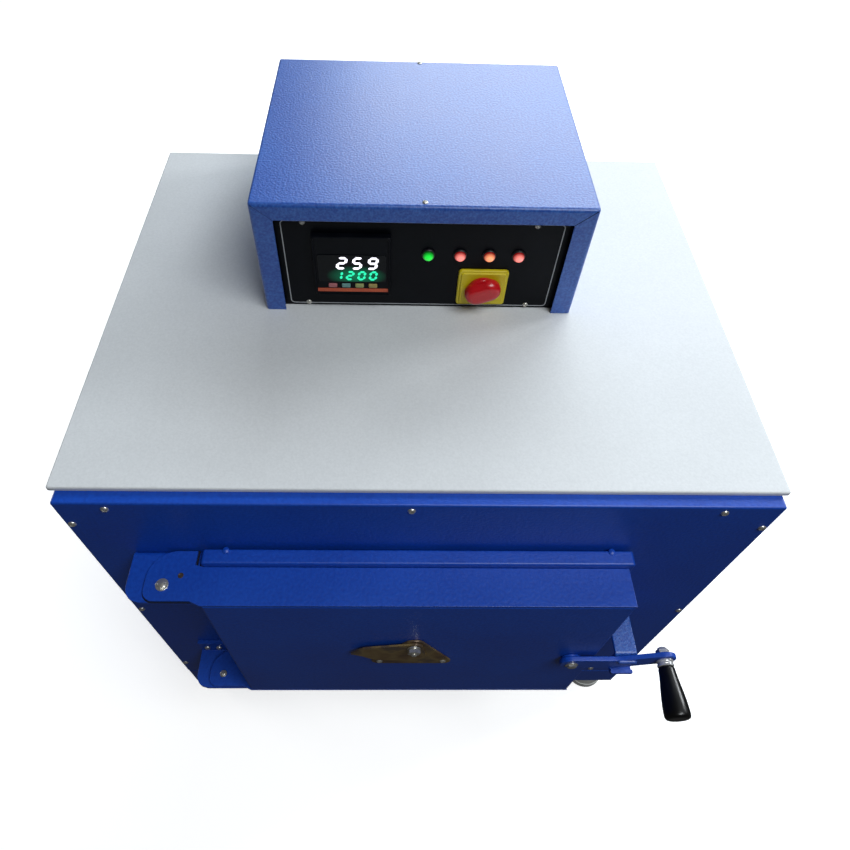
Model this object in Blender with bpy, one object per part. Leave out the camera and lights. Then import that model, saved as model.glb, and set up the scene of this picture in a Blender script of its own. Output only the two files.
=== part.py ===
"""Laboratory muffle furnace: a sheet-steel case round a ceramic chamber, with a side-hinged door
and a control box on its top cover.

Sizes are in millimetres and are turned into metres where a mesh is made.
+X is the furnace's right, +Y its back and +Z up. The origin is at the middle of its box, on the floor.
"""
import math
from itertools import product

import bmesh
import bpy
from mathutils import Matrix, Vector

MM = 0.001
GAP = 0.3                                 # left between pieces that touch

# Overall layout
FOOT_HEIGHT = 45.0
PLINTH_HEIGHT = 50.0
TOP = 585.0                               # upper face of the top cover
COVER_WIDTH, COVER_DEPTH, COVER_LIP = 610.0, 472.0, 4.5
BODY_WIDTH = 600.0
FACE_TO_GRIP = 114.8                      # fascia to the free end of the door handle
FACE_TO_REAR = 511.2                      # fascia to the back of the thermocouple head
FACE = (FACE_TO_GRIP - FACE_TO_REAR) / 2  # front plane of the fascia
LEDGE = 11.2                              # how far the fascia stands in front of the top cover
CASE_BACK = FACE + LEDGE + 470.0
FASCIA_BOTTOM = FOOT_HEIGHT + PLINTH_HEIGHT
FASCIA_TOP = TOP - COVER_LIP
SHEET = 1.5

# Chamber
CHAMBER_HALF = 100.0                      # 8 inches wide and high inside
CHAMBER_DEPTH = 300.0                     # 12 inches deep
CHAMBER_Z = TOP - 234.0
MUFFLE_WALL = 25.0
MUFFLE_HALF = CHAMBER_HALF + MUFFLE_WALL
MUFFLE_FRONT = FACE + SHEET + GAP
CHAMBER_BACK = MUFFLE_FRONT + CHAMBER_DEPTH
MUFFLE_BACK = CHAMBER_BACK + MUFFLE_WALL
MOUTH_HALF = CHAMBER_HALF + 4.0
ELEMENT_RUNS = 6
ELEMENT_RADIUS = 3.5
POCKET_DEPTH = 10.0
HEARTH_THICKNESS = 10.0
SHEATH_RADIUS, SHEATH_HOLE = 4.0, 5.0     # thermocouple sheath and its holes in the back

# Door
DOOR_HALF = 189.5
DOOR_TOP = TOP - 90.3
DOOR_BOTTOM = TOP - 377.0
DOOR_FACE = FACE - 51.5
DOOR_BACK = FACE - 16.8
HINGE_PLATE = 3.0
FRAME_HALF = 194.0
FRAME_LIP = 7.0                           # how far the rear frame stands past the door all round
FRAME_BACK = FACE - 2.8
PLUG_DEPTH = 33.0
PLUG_HALF_FRONT, PLUG_HALF_BACK = 96.0, 88.0
PIN_X, PIN_Y = -224.9, FACE - 33.3
PIN_RADIUS, PIN_HOLE = 4.0, 4.4
BRACKET = 4.0
BRACKET_LEFT, BRACKET_RIGHT = -257.5, -196.5
BRACKET_FRONT = FACE - 47.6

# Latch
LEVER_X, LEVER_Z = 163.0, TOP - 238.0
EYE_X, EYE_Z = 255.0, TOP - 222.0
LEVER_BEND_X = 212.0
LEVER_HALF = 12.0
LEVER_BACK = DOOR_FACE - 2.9
LEVER_FRONT = LEVER_BACK - 5.0
GRIP_END = FACE - FACE_TO_GRIP
GRIP_START = LEVER_FRONT - 7.0
KEEPER_LEFT, KEEPER_RIGHT = 207.0, 226.0
KEEPER_TOP = TOP - 225.0

# Sight hole in the door
SIGHT_X, SIGHT_Z, SIGHT_RADIUS = -3.0, TOP - 225.0, 8.0
SIGHT_PIVOT_Z = TOP - 193.0

# Control box
BOX_HALF = 152.0
BOX_FRONT = FACE + LEDGE + 202.5
BOX_BACK = BOX_FRONT + 256.0
BOX_TOP = TOP + 127.0
BOX_FLANGE = 17.0
BOX_SHEET = 1.2
PANEL_FRONT = BOX_FRONT + 7.3
PANEL_BACK = PANEL_FRONT + SHEET
CONTROLLER_X, CONTROLLER_Z, CONTROLLER_SIZE = -65.2, TOP + 55.8, 72.0
KEY_PITCH, KEY_Z = 12.8, TOP + 33.0
KEY_HALF_WIDTH, KEY_HALF_HEIGHT = 4.2, 2.5
LAMP_Z, LAMP_RADIUS = TOP + 69.0, 6.3
LAMPS = (("lamp_heating", 5.7, "green_lens"), ("lamp_phase_1", 35.3, "red_lens"),
         ("lamp_phase_2", 62.6, "red_lens"), ("lamp_phase_3", 89.9, "red_lens"))
SWITCH_X, SWITCH_Z, SWITCH_SIZE = 60.0, TOP + 31.0, 48.0

FINISHES = {                              # sRGB colour, roughness, metallic
    "blue_paint": ("#1F3C96", 0.45, 0.0),
    "grey_paint": ("#BCC2C7", 0.45, 0.0),
    "foot_rubber": ("#B9BBB6", 0.7, 0.0),
    "fibre_board": ("#E8E2D4", 0.95, 0.0),
    "firebrick": ("#D9C7A4", 0.9, 0.0),
    "silicon_carbide": ("#4A4744", 0.8, 0.0),
    "element_wire": ("#6B5E57", 0.55, 1.0),
    "ceramic": ("#EDE6D6", 0.5, 0.0),
    "cast_aluminium": ("#A9ACAF", 0.45, 1.0),
    "black_plastic": ("#111214", 0.45, 0.0),
    "grip_plastic": ("#0B0B0C", 0.2, 0.0),
    "panel_black": ("#101015", 0.35, 0.0),
    "zinc_steel": ("#C9C7BE", 0.3, 1.0),
    "heat_tinted_steel": ("#5A4A3C", 0.4, 1.0),
    "chrome": ("#E2E4E6", 0.08, 1.0),
    "green_lens": ("#10B030", 0.2, 0.0),
    "red_lens": ("#D02020", 0.2, 0.0),
    "yellow_plastic": ("#D9C614", 0.4, 0.0),
    "red_plastic": ("#C8101C", 0.35, 0.0),
    "rope_seal": ("#D8D3C8", 0.95, 0.0),
    "key_pink": ("#D08080", 0.4, 0.0),
    "key_teal": ("#70B0A8", 0.4, 0.0),
    "key_lime": ("#B8C070", 0.4, 0.0),
    "key_amber": ("#C8A860", 0.4, 0.0),
}


def clear_scene():
    for obj in list(bpy.data.objects):
        bpy.data.objects.remove(obj, do_unlink=True)


def linear_colour(code):
    """The linear RGBA of an sRGB hex code."""
    channels = [int(code[i:i + 2], 16) / 255 for i in (1, 3, 5)]
    return [c / 12.92 if c <= 0.04045 else ((c + 0.055) / 1.055) ** 2.4 for c in channels] + [1.0]


def paint(obj, finish):
    """Gives an object its own material in one of the named finishes."""
    code, roughness, metallic = FINISHES[finish]
    material = bpy.data.materials.new(obj.name)
    material.use_nodes = True
    shader = material.node_tree.nodes["Principled BSDF"]
    shader.inputs["Base Color"].default_value = linear_colour(code)
    shader.inputs["Roughness"].default_value = roughness
    shader.inputs["Metallic"].default_value = metallic
    obj.data.materials.append(material)


def make_object(name, bm, finish, smooth=False):
    """Turns a bmesh in millimetres into an object in metres."""
    bmesh.ops.recalc_face_normals(bm, faces=bm.faces)
    bmesh.ops.transform(bm, matrix=Matrix.Scale(MM, 4), verts=bm.verts)
    mesh = bpy.data.meshes.new(name)
    bm.to_mesh(mesh)
    bm.free()
    if smooth:
        mesh.shade_smooth()
        mesh.set_sharp_from_angle(angle=math.radians(35))
    obj = bpy.data.objects.new(name, mesh)
    bpy.context.collection.objects.link(obj)
    if finish:
        paint(obj, finish)
    return obj


def bevel_edges(bm, is_wanted, width, segments):
    """Rounds the edges for which is_wanted(first point, second point) is true."""
    edges = [e for e in bm.edges if is_wanted(e.verts[0].co, e.verts[1].co)]
    bmesh.ops.bevel(bm, geom=edges, offset=width, segments=segments, profile=0.5, affect="EDGES")


def box_mesh(low, high):
    bm = bmesh.new()
    size = Vector(high) - Vector(low)
    middle = (Vector(high) + Vector(low)) / 2
    bmesh.ops.create_cube(bm, size=1.0, matrix=Matrix.Translation(middle) @ Matrix.Diagonal(size).to_4x4())
    return bm


def block(name, low, high, finish, bevel=0.0):
    """A solid block, with all its edges rounded where bevel is given."""
    bm = box_mesh(low, high)
    if bevel:
        bevel_edges(bm, lambda a, b: True, bevel, 2)
    return make_object(name, bm, finish)


def sheet_box(name, low, high, wall, open_sides, finish):
    """A folded sheet box of one wall thickness, without the sides in open_sides, such as '-z'."""
    inner_low = [v + wall for v in low]
    inner_high = [v - wall for v in high]
    for side in open_sides:
        axis = "xyz".index(side[1])
        if side[0] == "-":
            inner_low[axis] = low[axis]
        else:
            inner_high[axis] = high[axis]
    bm = bmesh.new()
    corner = {}
    for layer, ends in (("outer", (low, high)), ("inner", (inner_low, inner_high))):
        for key in product((0, 1), repeat=3):
            corner[layer, key] = bm.verts.new([ends[k][i] for i, k in enumerate(key)])
    for axis, end in product(range(3), (0, 1)):
        others = [i for i in range(3) if i != axis]
        ring = []
        for pair in ((0, 0), (1, 0), (1, 1), (0, 1)):
            key = [end] * 3
            key[others[0]], key[others[1]] = pair
            ring.append(tuple(key))
        if "-+"[end] + "xyz"[axis] not in open_sides:
            bm.faces.new([corner["outer", key] for key in ring])
            bm.faces.new([corner["inner", key] for key in ring])
            continue
        for first, second in zip(ring, ring[1:] + ring[:1]):
            shared = next(i for i in others if first[i] == second[i])
            if "-+"[first[shared]] + "xyz"[shared] not in open_sides:
                bm.faces.new([corner["outer", first], corner["outer", second],
                              corner["inner", second], corner["inner", first]])
    return make_object(name, bm, finish)


def extruded(name, outline, axis, start, end, finish, smooth=False):
    """An outline pushed from start to end along an axis; its points hold the other two, in order."""
    index = "xyz".index(axis)
    bm = bmesh.new()
    points = []
    for pair in outline:
        point = list(pair)
        point.insert(index, start)
        points.append(bm.verts.new(point))
    face = bm.faces.new(points)
    moved = bmesh.ops.extrude_face_region(bm, geom=[face])["geom"]
    step = Vector((0, 0, 0))
    step[index] = end - start
    bmesh.ops.translate(bm, vec=step, verts=[v for v in moved if isinstance(v, bmesh.types.BMVert)])
    return make_object(name, bm, finish, smooth)


def arc(centre, radius, start, end, steps=4):
    """Points on a circle from start to end, in degrees, both ends included."""
    angles = [math.radians(start + (end - start) * i / steps) for i in range(steps + 1)]
    return [(centre[0] + radius * math.cos(a), centre[1] + radius * math.sin(a)) for a in angles]


def turned(name, profile, base, direction, finish, segments=16):
    """A lathe-turned piece: (radius, height) pairs spun round an axis that starts at base."""
    bm = bmesh.new()
    points = [bm.verts.new((radius, 0, height)) for radius, height in profile]
    edges = [bm.edges.new(pair) for pair in zip(points, points[1:])]
    bmesh.ops.spin(bm, geom=points + edges, cent=(0, 0, 0), axis=(0, 0, 1), angle=math.tau,
                   steps=segments, use_merge=True)
    bmesh.ops.remove_doubles(bm, verts=bm.verts, dist=0.001)
    turn = Vector((0, 0, 1)).rotation_difference(Vector(direction)).to_matrix().to_4x4()
    bmesh.ops.transform(bm, matrix=Matrix.Translation(base) @ turn, verts=bm.verts)
    return make_object(name, bm, finish, smooth=True)


def cutter(obj, tool, operation="DIFFERENCE"):
    """Applies another object to obj with a Boolean, and hides that object."""
    tool.hide_render = True
    tool.display_type = "WIRE"
    boolean = obj.modifiers.new(tool.name, "BOOLEAN")
    boolean.operation = operation
    boolean.solver = "EXACT"
    boolean.object = tool


def drill(obj, base, direction, length, radius, segments=16):
    """A round hole from base along direction."""
    profile = [(0, 0), (radius, 0), (radius, length), (0, length)]
    tool = turned(obj.name + "_drill", profile, base, direction, None, segments)
    cutter(obj, tool)


def mill(obj, low, high):
    """A rectangular hole or pocket."""
    cutter(obj, make_object(obj.name + "_mill", box_mesh(low, high), None))


def pivot(name, place, pieces, parent=None):
    """An empty on a joint's axis, which carries the pieces that turn or slide there."""
    empty = bpy.data.objects.new(name, None)
    bpy.context.collection.objects.link(empty)
    empty.location = Vector(place) * MM
    inverse = Matrix.Translation(Vector(place) * MM).inverted()
    for piece in pieces:
        piece.parent = empty
        piece.matrix_parent_inverse = inverse
    if parent:
        empty.parent = parent
        empty.matrix_parent_inverse = Matrix.Translation(parent["place"]).inverted()
    empty["place"] = Vector(place) * MM
    return empty


def make_stand():
    """Four round feet under a folded plinth."""
    radius = 27.0
    inset_x = BODY_WIDTH / 2 - radius - 1
    front, back = FACE + radius + 1, CASE_BACK - radius - 1
    profile = [(0, 0), (radius - 2, 0), (radius, 3), (radius, 12), (radius - 5, FOOT_HEIGHT - GAP),
               (0, FOOT_HEIGHT - GAP)]
    for end, y in (("front", front), ("back", back)):
        for side, x in (("left", -inset_x), ("right", inset_x)):
            turned(f"foot_{end}_{side}", profile, (x, y, 0), (0, 0, 1), "foot_rubber")
    sheet_box("plinth", (-BODY_WIDTH / 2, FACE, FOOT_HEIGHT),
              (BODY_WIDTH / 2, CASE_BACK, FASCIA_BOTTOM - GAP), 2.0, ["-z"], "blue_paint")


def make_case():
    """Fascia, wrap-round casing, back panel and top cover."""
    half = BODY_WIDTH / 2
    seam = FACE + LEDGE + 6.0
    fascia = sheet_box("front_fascia", (-half, FACE, FASCIA_BOTTOM), (half, seam, FASCIA_TOP - GAP),
                       SHEET, ["+y"], "blue_paint")
    mill(fascia, (-MOUTH_HALF, FACE - 5, CHAMBER_Z - MOUTH_HALF),
         (MOUTH_HALF, FACE + 5, CHAMBER_Z + MOUTH_HALF))
    sheet_box("casing", (-half, seam + GAP, FASCIA_BOTTOM), (half, CASE_BACK, FASCIA_TOP - GAP),
              SHEET, ["-y", "+y"], "blue_paint")
    back = block("back_panel", (-half, CASE_BACK + GAP, FASCIA_BOTTOM),
                 (half, CASE_BACK + GAP + SHEET, FASCIA_TOP - GAP), "blue_paint")
    slot_length, slot_height, slot_pitch, slot_rows = 120.0, 4.0, 14.0, 5
    first_slot = TOP - 60
    for x in (-170.0, 50.0):
        for row in range(slot_rows):
            z = first_slot - row * slot_pitch
            mill(back, (x, CASE_BACK - 5, z), (x + slot_length, CASE_BACK + 9, z + slot_height))
    drill(back, (0, CASE_BACK - 5, CHAMBER_Z), (0, 1, 0), 15, SHEATH_HOLE)
    front_edge = FACE + LEDGE
    sheet_box("top_cover", (-COVER_WIDTH / 2, front_edge, FASCIA_TOP),
              (COVER_WIDTH / 2, front_edge + COVER_DEPTH, TOP), SHEET, ["-z"], "grey_paint")


def make_insulation():
    """Fibre boards that fill the case round the muffle."""
    margin = SHEET + GAP
    side = BODY_WIDTH / 2 - margin
    low, high = FASCIA_BOTTOM + margin, FASCIA_TOP - GAP - margin
    front, back = MUFFLE_FRONT, CASE_BACK - 2
    inner = MUFFLE_HALF + GAP
    block("insulation_left", (-side, front, low), (-inner, back, high), "fibre_board")
    block("insulation_right", (inner, front, low), (side, back, high), "fibre_board")
    block("insulation_top", (-MUFFLE_HALF, front, CHAMBER_Z + inner), (MUFFLE_HALF, back, high),
          "fibre_board")
    block("insulation_bottom", (-MUFFLE_HALF, front, low), (MUFFLE_HALF, back, CHAMBER_Z - inner),
          "fibre_board")
    board = block("insulation_back", (-MUFFLE_HALF, MUFFLE_BACK + GAP, CHAMBER_Z - MUFFLE_HALF),
                  (MUFFLE_HALF, back, CHAMBER_Z + MUFFLE_HALF), "fibre_board")
    drill(board, (0, MUFFLE_BACK - 5, CHAMBER_Z), (0, 1, 0), back - MUFFLE_BACK + 10, SHEATH_HOLE)


def make_chamber():
    """Firebrick muffle with a pocket in each side wall for a heating element, and its hearth plate."""
    muffle = sheet_box("muffle", (-MUFFLE_HALF, MUFFLE_FRONT, CHAMBER_Z - MUFFLE_HALF),
                       (MUFFLE_HALF, MUFFLE_BACK, CHAMBER_Z + MUFFLE_HALF), MUFFLE_WALL, ["-y"],
                       "firebrick")
    front, back = MUFFLE_FRONT + 45, CHAMBER_BACK - 15
    low, high = CHAMBER_Z - 75, CHAMBER_Z + 85
    end_room, edge_room = 6.0, 10.0       # pocket left round the element
    for side, sign in (("left", -1), ("right", 1)):
        wall = sorted((sign * (CHAMBER_HALF - 5), sign * (CHAMBER_HALF + POCKET_DEPTH)))
        mill(muffle, (wall[0], front, low), (wall[1], back, high))
        make_element(side, sign * (CHAMBER_HALF + POCKET_DEPTH / 2), front + end_room, back - end_room,
                     low + edge_room, high - edge_room)
    drill(muffle, (0, CHAMBER_BACK - 5, CHAMBER_Z), (0, 1, 0), MUFFLE_WALL + 10, SHEATH_HOLE)
    floor, side_room = CHAMBER_Z - CHAMBER_HALF, 4.0
    block("hearth_plate", (-CHAMBER_HALF + side_room, MUFFLE_FRONT + PLUG_DEPTH + 5, floor + GAP),
          (CHAMBER_HALF - side_room, CHAMBER_BACK - 2, floor + HEARTH_THICKNESS), "silicon_carbide", 1.0)


def make_element(side, x, front, back, low, high):
    """A resistance wire laid in level runs, joined by a half turn at each end in turn."""
    pitch = (high - low) / (ELEMENT_RUNS - 1)
    bend = pitch / 2
    points = []
    for run in range(ELEMENT_RUNS):
        z = low + run * pitch
        forward = run % 2 == 0
        start, end = (front + bend, back - bend) if forward else (back - bend, front + bend)
        points += [(start, z), (end, z)]
        if run < ELEMENT_RUNS - 1:
            turn = 1 if forward else -1
            half_turn = [math.radians(a) for a in (-60, -30, 0, 30, 60)]
            points += [(end + turn * bend * math.cos(a), z + bend + bend * math.sin(a)) for a in half_turn]
    curve = bpy.data.curves.new(f"element_{side}", "CURVE")
    curve.dimensions = "3D"
    curve.bevel_depth = ELEMENT_RADIUS * MM
    curve.bevel_resolution = 1
    curve.use_fill_caps = True
    spline = curve.splines.new("POLY")
    spline.points.add(len(points) - 1)
    for target, (y, z) in zip(spline.points, points):
        target.co = (x * MM, y * MM, z * MM, 1)
    obj = bpy.data.objects.new(f"element_{side}", curve)
    bpy.context.collection.objects.link(obj)
    paint(obj, "element_wire")


def make_rear_fittings():
    """Thermocouple with its head, and the terminal cover with its cable gland."""
    inside = 35.0                         # reach of the sheath into the chamber
    rear = CASE_BACK + GAP + SHEET + GAP
    length = rear - GAP - CHAMBER_BACK + inside
    profile = [(0, 0), (3, 0.5), (SHEATH_RADIUS, 3), (SHEATH_RADIUS, length), (0, length)]
    turned("thermocouple_sheath", profile, (0, CHAMBER_BACK - inside, CHAMBER_Z), (0, 1, 0), "ceramic", 12)
    neck, head = 13.0, 24.0
    height = FACE + FACE_TO_REAR - rear
    profile = [(0, 0), (neck, 0), (neck, 8), (head, 10), (head, height - 3), (head - 3, height),
               (0, height)]
    turned("thermocouple_head", profile, (0, rear, CHAMBER_Z), (0, 1, 0), "cast_aluminium")
    low, half, depth, height = FASCIA_BOTTOM + 35, 70.0, 24.0, 70.0
    cover = sheet_box("terminal_cover", (-half, rear, low), (half, rear + depth, low + height), BOX_SHEET,
                      ["-y"], "blue_paint")
    gland_x, gland_y, stem, flange_top = 40.0, rear + depth / 2, 8.0, 19.0
    drill(cover, (gland_x, gland_y, low - 5), (0, 0, 1), 10, stem + 0.4)
    profile = [(0, 0), (7, 0), (9, 3), (9, 12), (11, 13), (11, flange_top), (stem, flange_top),
               (stem, flange_top + 9), (0, flange_top + 9)]
    turned("cable_gland", profile, (gland_x, gland_y, low - flange_top - 0.5), (0, 0, 1), "black_plastic")


def make_bracket(name, plate_top, flange_end):
    """Hinge bracket: a level plate with a rounded corner, and a flange flat on the fascia."""
    back = FACE - GAP
    plate_bottom = plate_top - BRACKET
    near, far = (plate_top, plate_bottom) if flange_end > plate_top else (plate_bottom, plate_top)
    profile = [(back, far), (BRACKET_FRONT, far), (BRACKET_FRONT, near), (back - BRACKET, near),
               (back - BRACKET, flange_end), (back, flange_end)]
    bm = bmesh.new()
    face = bm.faces.new([bm.verts.new((BRACKET_LEFT, y, z)) for y, z in profile])
    moved = bmesh.ops.extrude_face_region(bm, geom=[face])["geom"]
    bmesh.ops.translate(bm, vec=(BRACKET_RIGHT - BRACKET_LEFT, 0, 0),
                        verts=[v for v in moved if isinstance(v, bmesh.types.BMVert)])

    corner = Vector((BRACKET_LEFT, BRACKET_FRONT))

    def is_corner(a, b):
        return (a.xy - corner).length < 0.01 and (b.xy - corner).length < 0.01

    bevel_edges(bm, is_corner, 15.0, 4)
    bracket = make_object(name, bm, "blue_paint")
    drill(bracket, (PIN_X, PIN_Y, plate_bottom - 5), (0, 0, 1), BRACKET + 10, PIN_HOLE)


def make_hinge_bolt(name, plate_top, bracket_bottom):
    """Bolt with its head over the door's hinge plate and its nut under the bracket."""
    head = plate_top + GAP
    nut = bracket_bottom - GAP
    profile = [(0, nut - 6.5), (6.5, nut - 6.5), (6.5, nut), (PIN_RADIUS, nut), (PIN_RADIUS, head),
               (7.0, head), (7.0, head + 4.2), (5.6, head + 5.3), (0, head + 5.3)]
    turned(name, profile, (PIN_X, PIN_Y, 0), (0, 0, 1), "zinc_steel", 12)


def hinge_plate_outline(ear_back):
    """The door's top or bottom plate, which runs on past the door to the hinge pin."""
    front, ear_front = DOOR_FACE, FACE - 47.3
    back_arc, front_arc = 25.0, 10.0
    ear_left = -240.8
    ear_right = -199.5
    outline = [(DOOR_HALF, front), (DOOR_HALF, DOOR_BACK), (-192.0, DOOR_BACK), (ear_right, DOOR_BACK + 2),
               (ear_right, ear_back)]
    outline += arc((ear_left + back_arc, ear_back - back_arc), back_arc, 90, 180, 6)
    outline += arc((ear_left + front_arc, ear_front + front_arc), front_arc, 180, 270, 4)
    return outline + [(ear_right, ear_front), (-DOOR_HALF, front)]


def make_door():
    """Hinged door: a blue pan, two hinge plates, a rear frame and a fibre plug for the chamber's mouth."""
    hollow_low, hollow_high = DOOR_BOTTOM + HINGE_PLATE + GAP, DOOR_TOP - HINGE_PLATE - GAP
    pan = sheet_box("door_pan", (-DOOR_HALF, DOOR_FACE, hollow_low), (DOOR_HALF, DOOR_BACK, hollow_high),
                    2.0, ["+y", "-z", "+z"], "blue_paint")
    pieces = [pan]
    for name, low, ear_back in (("door_top_plate", DOOR_TOP - HINGE_PLATE, FACE - 1.8),
                                ("door_bottom_plate", DOOR_BOTTOM, FACE - BRACKET - 1.5)):
        plate = extruded(name, hinge_plate_outline(ear_back), "z", low, low + HINGE_PLATE, "blue_paint")
        drill(plate, (PIN_X, PIN_Y, low - 5), (0, 0, 1), HINGE_PLATE + 10, PIN_HOLE)
        pieces.append(plate)
    filling = block("door_insulation", (-DOOR_HALF + 2.3, DOOR_FACE + 2.3, hollow_low + GAP),
                    (DOOR_HALF - 2.3, DOOR_BACK - GAP, hollow_high - GAP), "fibre_board")
    frame = block("door_frame", (-FRAME_HALF, DOOR_BACK + GAP, DOOR_BOTTOM - FRAME_LIP),
                  (FRAME_HALF, FRAME_BACK, DOOR_TOP + FRAME_LIP), "blue_paint", 1.5)
    plug = make_plug()
    for piece in (pan, filling, frame, plug):
        drill(piece, (SIGHT_X, DOOR_FACE - 10, SIGHT_Z), (0, 1, 0), 110, SIGHT_RADIUS)
    gasket_half, gasket_width = 122.0, 12.0
    gasket = block("door_gasket", (-gasket_half, FRAME_BACK + GAP, CHAMBER_Z - gasket_half),
                   (gasket_half, FACE - GAP, CHAMBER_Z + gasket_half), "rope_seal")
    clear = gasket_half - gasket_width
    mill(gasket, (-clear, FRAME_BACK - 5, CHAMBER_Z - clear), (clear, FACE + 5, CHAMBER_Z + clear))
    return pieces + [filling, frame, plug, gasket]


def make_plug():
    """Tapered fibre block on the back of the door."""
    bm = bmesh.new()
    ends = []
    signs = ((-1, -1), (1, -1), (1, 1), (-1, 1))
    front = FRAME_BACK + GAP
    for y, half in ((front, PLUG_HALF_FRONT), (front + PLUG_DEPTH, PLUG_HALF_BACK)):
        ends.append([bm.verts.new((x * half, y, CHAMBER_Z + z * half)) for x, z in signs])
    bmesh.ops.contextual_create(bm, geom=ends[0])
    bmesh.ops.contextual_create(bm, geom=ends[1])
    edges = [e for e in bm.edges if abs(e.verts[0].co.y - e.verts[1].co.y) < 0.01]
    bmesh.ops.bridge_loops(bm, edges=edges)
    return make_object("door_plug", bm, "fibre_board")


def make_sight_hole():
    """Steel plate round the door's sight hole, and the flap that swings over it on a bolt."""
    plate_back = DOOR_FACE - GAP
    low, corner = TOP - 246.0, 8.0
    outline = arc((SIGHT_X + 33, low), corner, -90, 40)
    outline += arc((SIGHT_X + 2, SIGHT_PIVOT_Z + 2), 10, 40, 140)
    outline += arc((SIGHT_X - 33, low), corner, 140, 270)
    plate = extruded("sight_plate", outline, "y", plate_back - 2, plate_back, "heat_tinted_steel")
    drill(plate, (SIGHT_X, plate_back - 10, SIGHT_Z), (0, 1, 0), 20, SIGHT_RADIUS)
    flap_back = plate_back - 2 - GAP
    pivot_at = (SIGHT_X + 1, SIGHT_PIVOT_Z)
    tail = [(SIGHT_X - 40, TOP - 194.8), (SIGHT_X - 47, TOP - 196.6), (SIGHT_X - 52, TOP - 201.0),
            (SIGHT_X - 57, TOP - 208.0)]
    tail += arc((SIGHT_X - 59.5, TOP - 214), 2.2, 150, 280, 3)
    tail += [(SIGHT_X - 50, TOP - 222.0), (SIGHT_X - 40.5, TOP - 232.0), (SIGHT_X - 27, TOP - 236.0)]
    outline = arc(pivot_at, 9, 0, 85) + tail + arc((SIGHT_X, SIGHT_Z), 15, 222, 360, 6)
    flap = extruded("sight_flap", outline, "y", flap_back - 2, flap_back, "heat_tinted_steel")
    drill(flap, (pivot_at[0], flap_back - 10, pivot_at[1]), (0, 1, 0), 20, 3.4)
    washer = 2 + 2 * GAP
    profile = [(0, 0), (3, 0), (3, washer), (6.5, washer), (6.5, 4), (5.6, 4.5), (5.6, 8), (3, 8.5),
               (3, 10), (0, 10)]
    base = (pivot_at[0], flap_back, pivot_at[1])
    bolt = turned("sight_bolt", profile, base, (0, -1, 0), "zinc_steel", 12)
    return plate, flap, bolt


def make_latch():
    """Cranked lever with a spinning grip, its pivot bolt, and the keeper on the fascia."""
    slope = math.degrees(math.atan2(EYE_Z - LEVER_Z, EYE_X - LEVER_BEND_X))
    outline = (arc((LEVER_X, LEVER_Z), LEVER_HALF, 90, 270, 8)
               + arc((LEVER_BEND_X, LEVER_Z), LEVER_HALF, 270, 270 + slope, 2)
               + arc((EYE_X, EYE_Z), LEVER_HALF, slope - 90, slope + 90, 8)
               + [(LEVER_BEND_X - 2, LEVER_Z + LEVER_HALF)])
    lever = extruded("lever", outline, "y", LEVER_FRONT, LEVER_BACK, "blue_paint")
    drill(lever, (LEVER_X, LEVER_FRONT - 5, LEVER_Z), (0, 1, 0), 15, 5.4)
    drill(lever, (EYE_X, LEVER_FRONT - 5, EYE_Z), (0, 1, 0), 15, 4.4)
    gap_end = DOOR_FACE - GAP - (LEVER_BACK + GAP)
    head = DOOR_FACE - GAP - (LEVER_FRONT - GAP)
    spacer, shank = 11.0, 5.0
    profile = [(0, 0), (spacer, 0), (spacer, gap_end), (shank, gap_end), (shank, head), (8, head),
               (8, head + 3.5), (6.5, head + 4.8), (0, head + 4.8)]
    bolt = turned("lever_bolt", profile, (LEVER_X, DOOR_FACE - GAP, LEVER_Z), (0, -1, 0), "zinc_steel")
    nut, shank, collar, bore_depth = 8.0, 4.0, 8.6, 40.0
    ferrule = LEVER_BACK + nut - (LEVER_FRONT - GAP)
    reach = LEVER_BACK + nut - GRIP_START
    tip = reach + bore_depth - 2
    profile = [(0, 0), (4.5, 1.2), (7.2, 4), (7.8, nut - GAP), (shank, nut - GAP), (shank, ferrule),
               (collar, ferrule), (collar, reach - GAP), (shank, reach - GAP), (shank, tip), (0, tip)]
    stud = turned("grip_stud", profile, (EYE_X, LEVER_BACK + nut, EYE_Z), (0, -1, 0), "chrome")
    length = GRIP_START - GRIP_END
    neck, swelling = 8.2, 4.6
    swell = [(neck + swelling * math.sin(math.pi / 2 * t) ** 1.4, 2 + (length - 5) * t)
             for t in (0, 0.2, 0.4, 0.6, 0.8, 1)]
    bore = [(0, bore_depth), (shank + 0.4, bore_depth), (shank + 0.4, 0), (7.4, 0)]
    grip = turned("lever_grip", bore + swell + [(10.8, length), (0, length)],
                  (EYE_X, GRIP_START, EYE_Z), (0, -1, 0), "grip_plastic")
    wall, sill, lip = 4.0, LEVER_Z - LEVER_HALF - 4, LEVER_Z - LEVER_HALF - 0.6
    rear, arm_end, lip_front = FACE - GAP, LEVER_BACK + 0.4, LEVER_FRONT - 5.4
    foot = KEEPER_TOP - 30
    profile = [(rear, KEEPER_TOP), (arm_end, KEEPER_TOP), (arm_end, sill), (lip_front + wall, sill),
               (lip_front + wall, lip), (lip_front, lip), (lip_front, sill - wall),
               (arm_end + wall, sill - wall), (arm_end + wall, KEEPER_TOP - wall),
               (rear - wall, KEEPER_TOP - wall), (rear - wall, foot), (rear, foot)]
    extruded("latch_keeper", profile, "x", KEEPER_LEFT, KEEPER_RIGHT, "blue_paint")
    return lever, bolt, stud, grip


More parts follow.
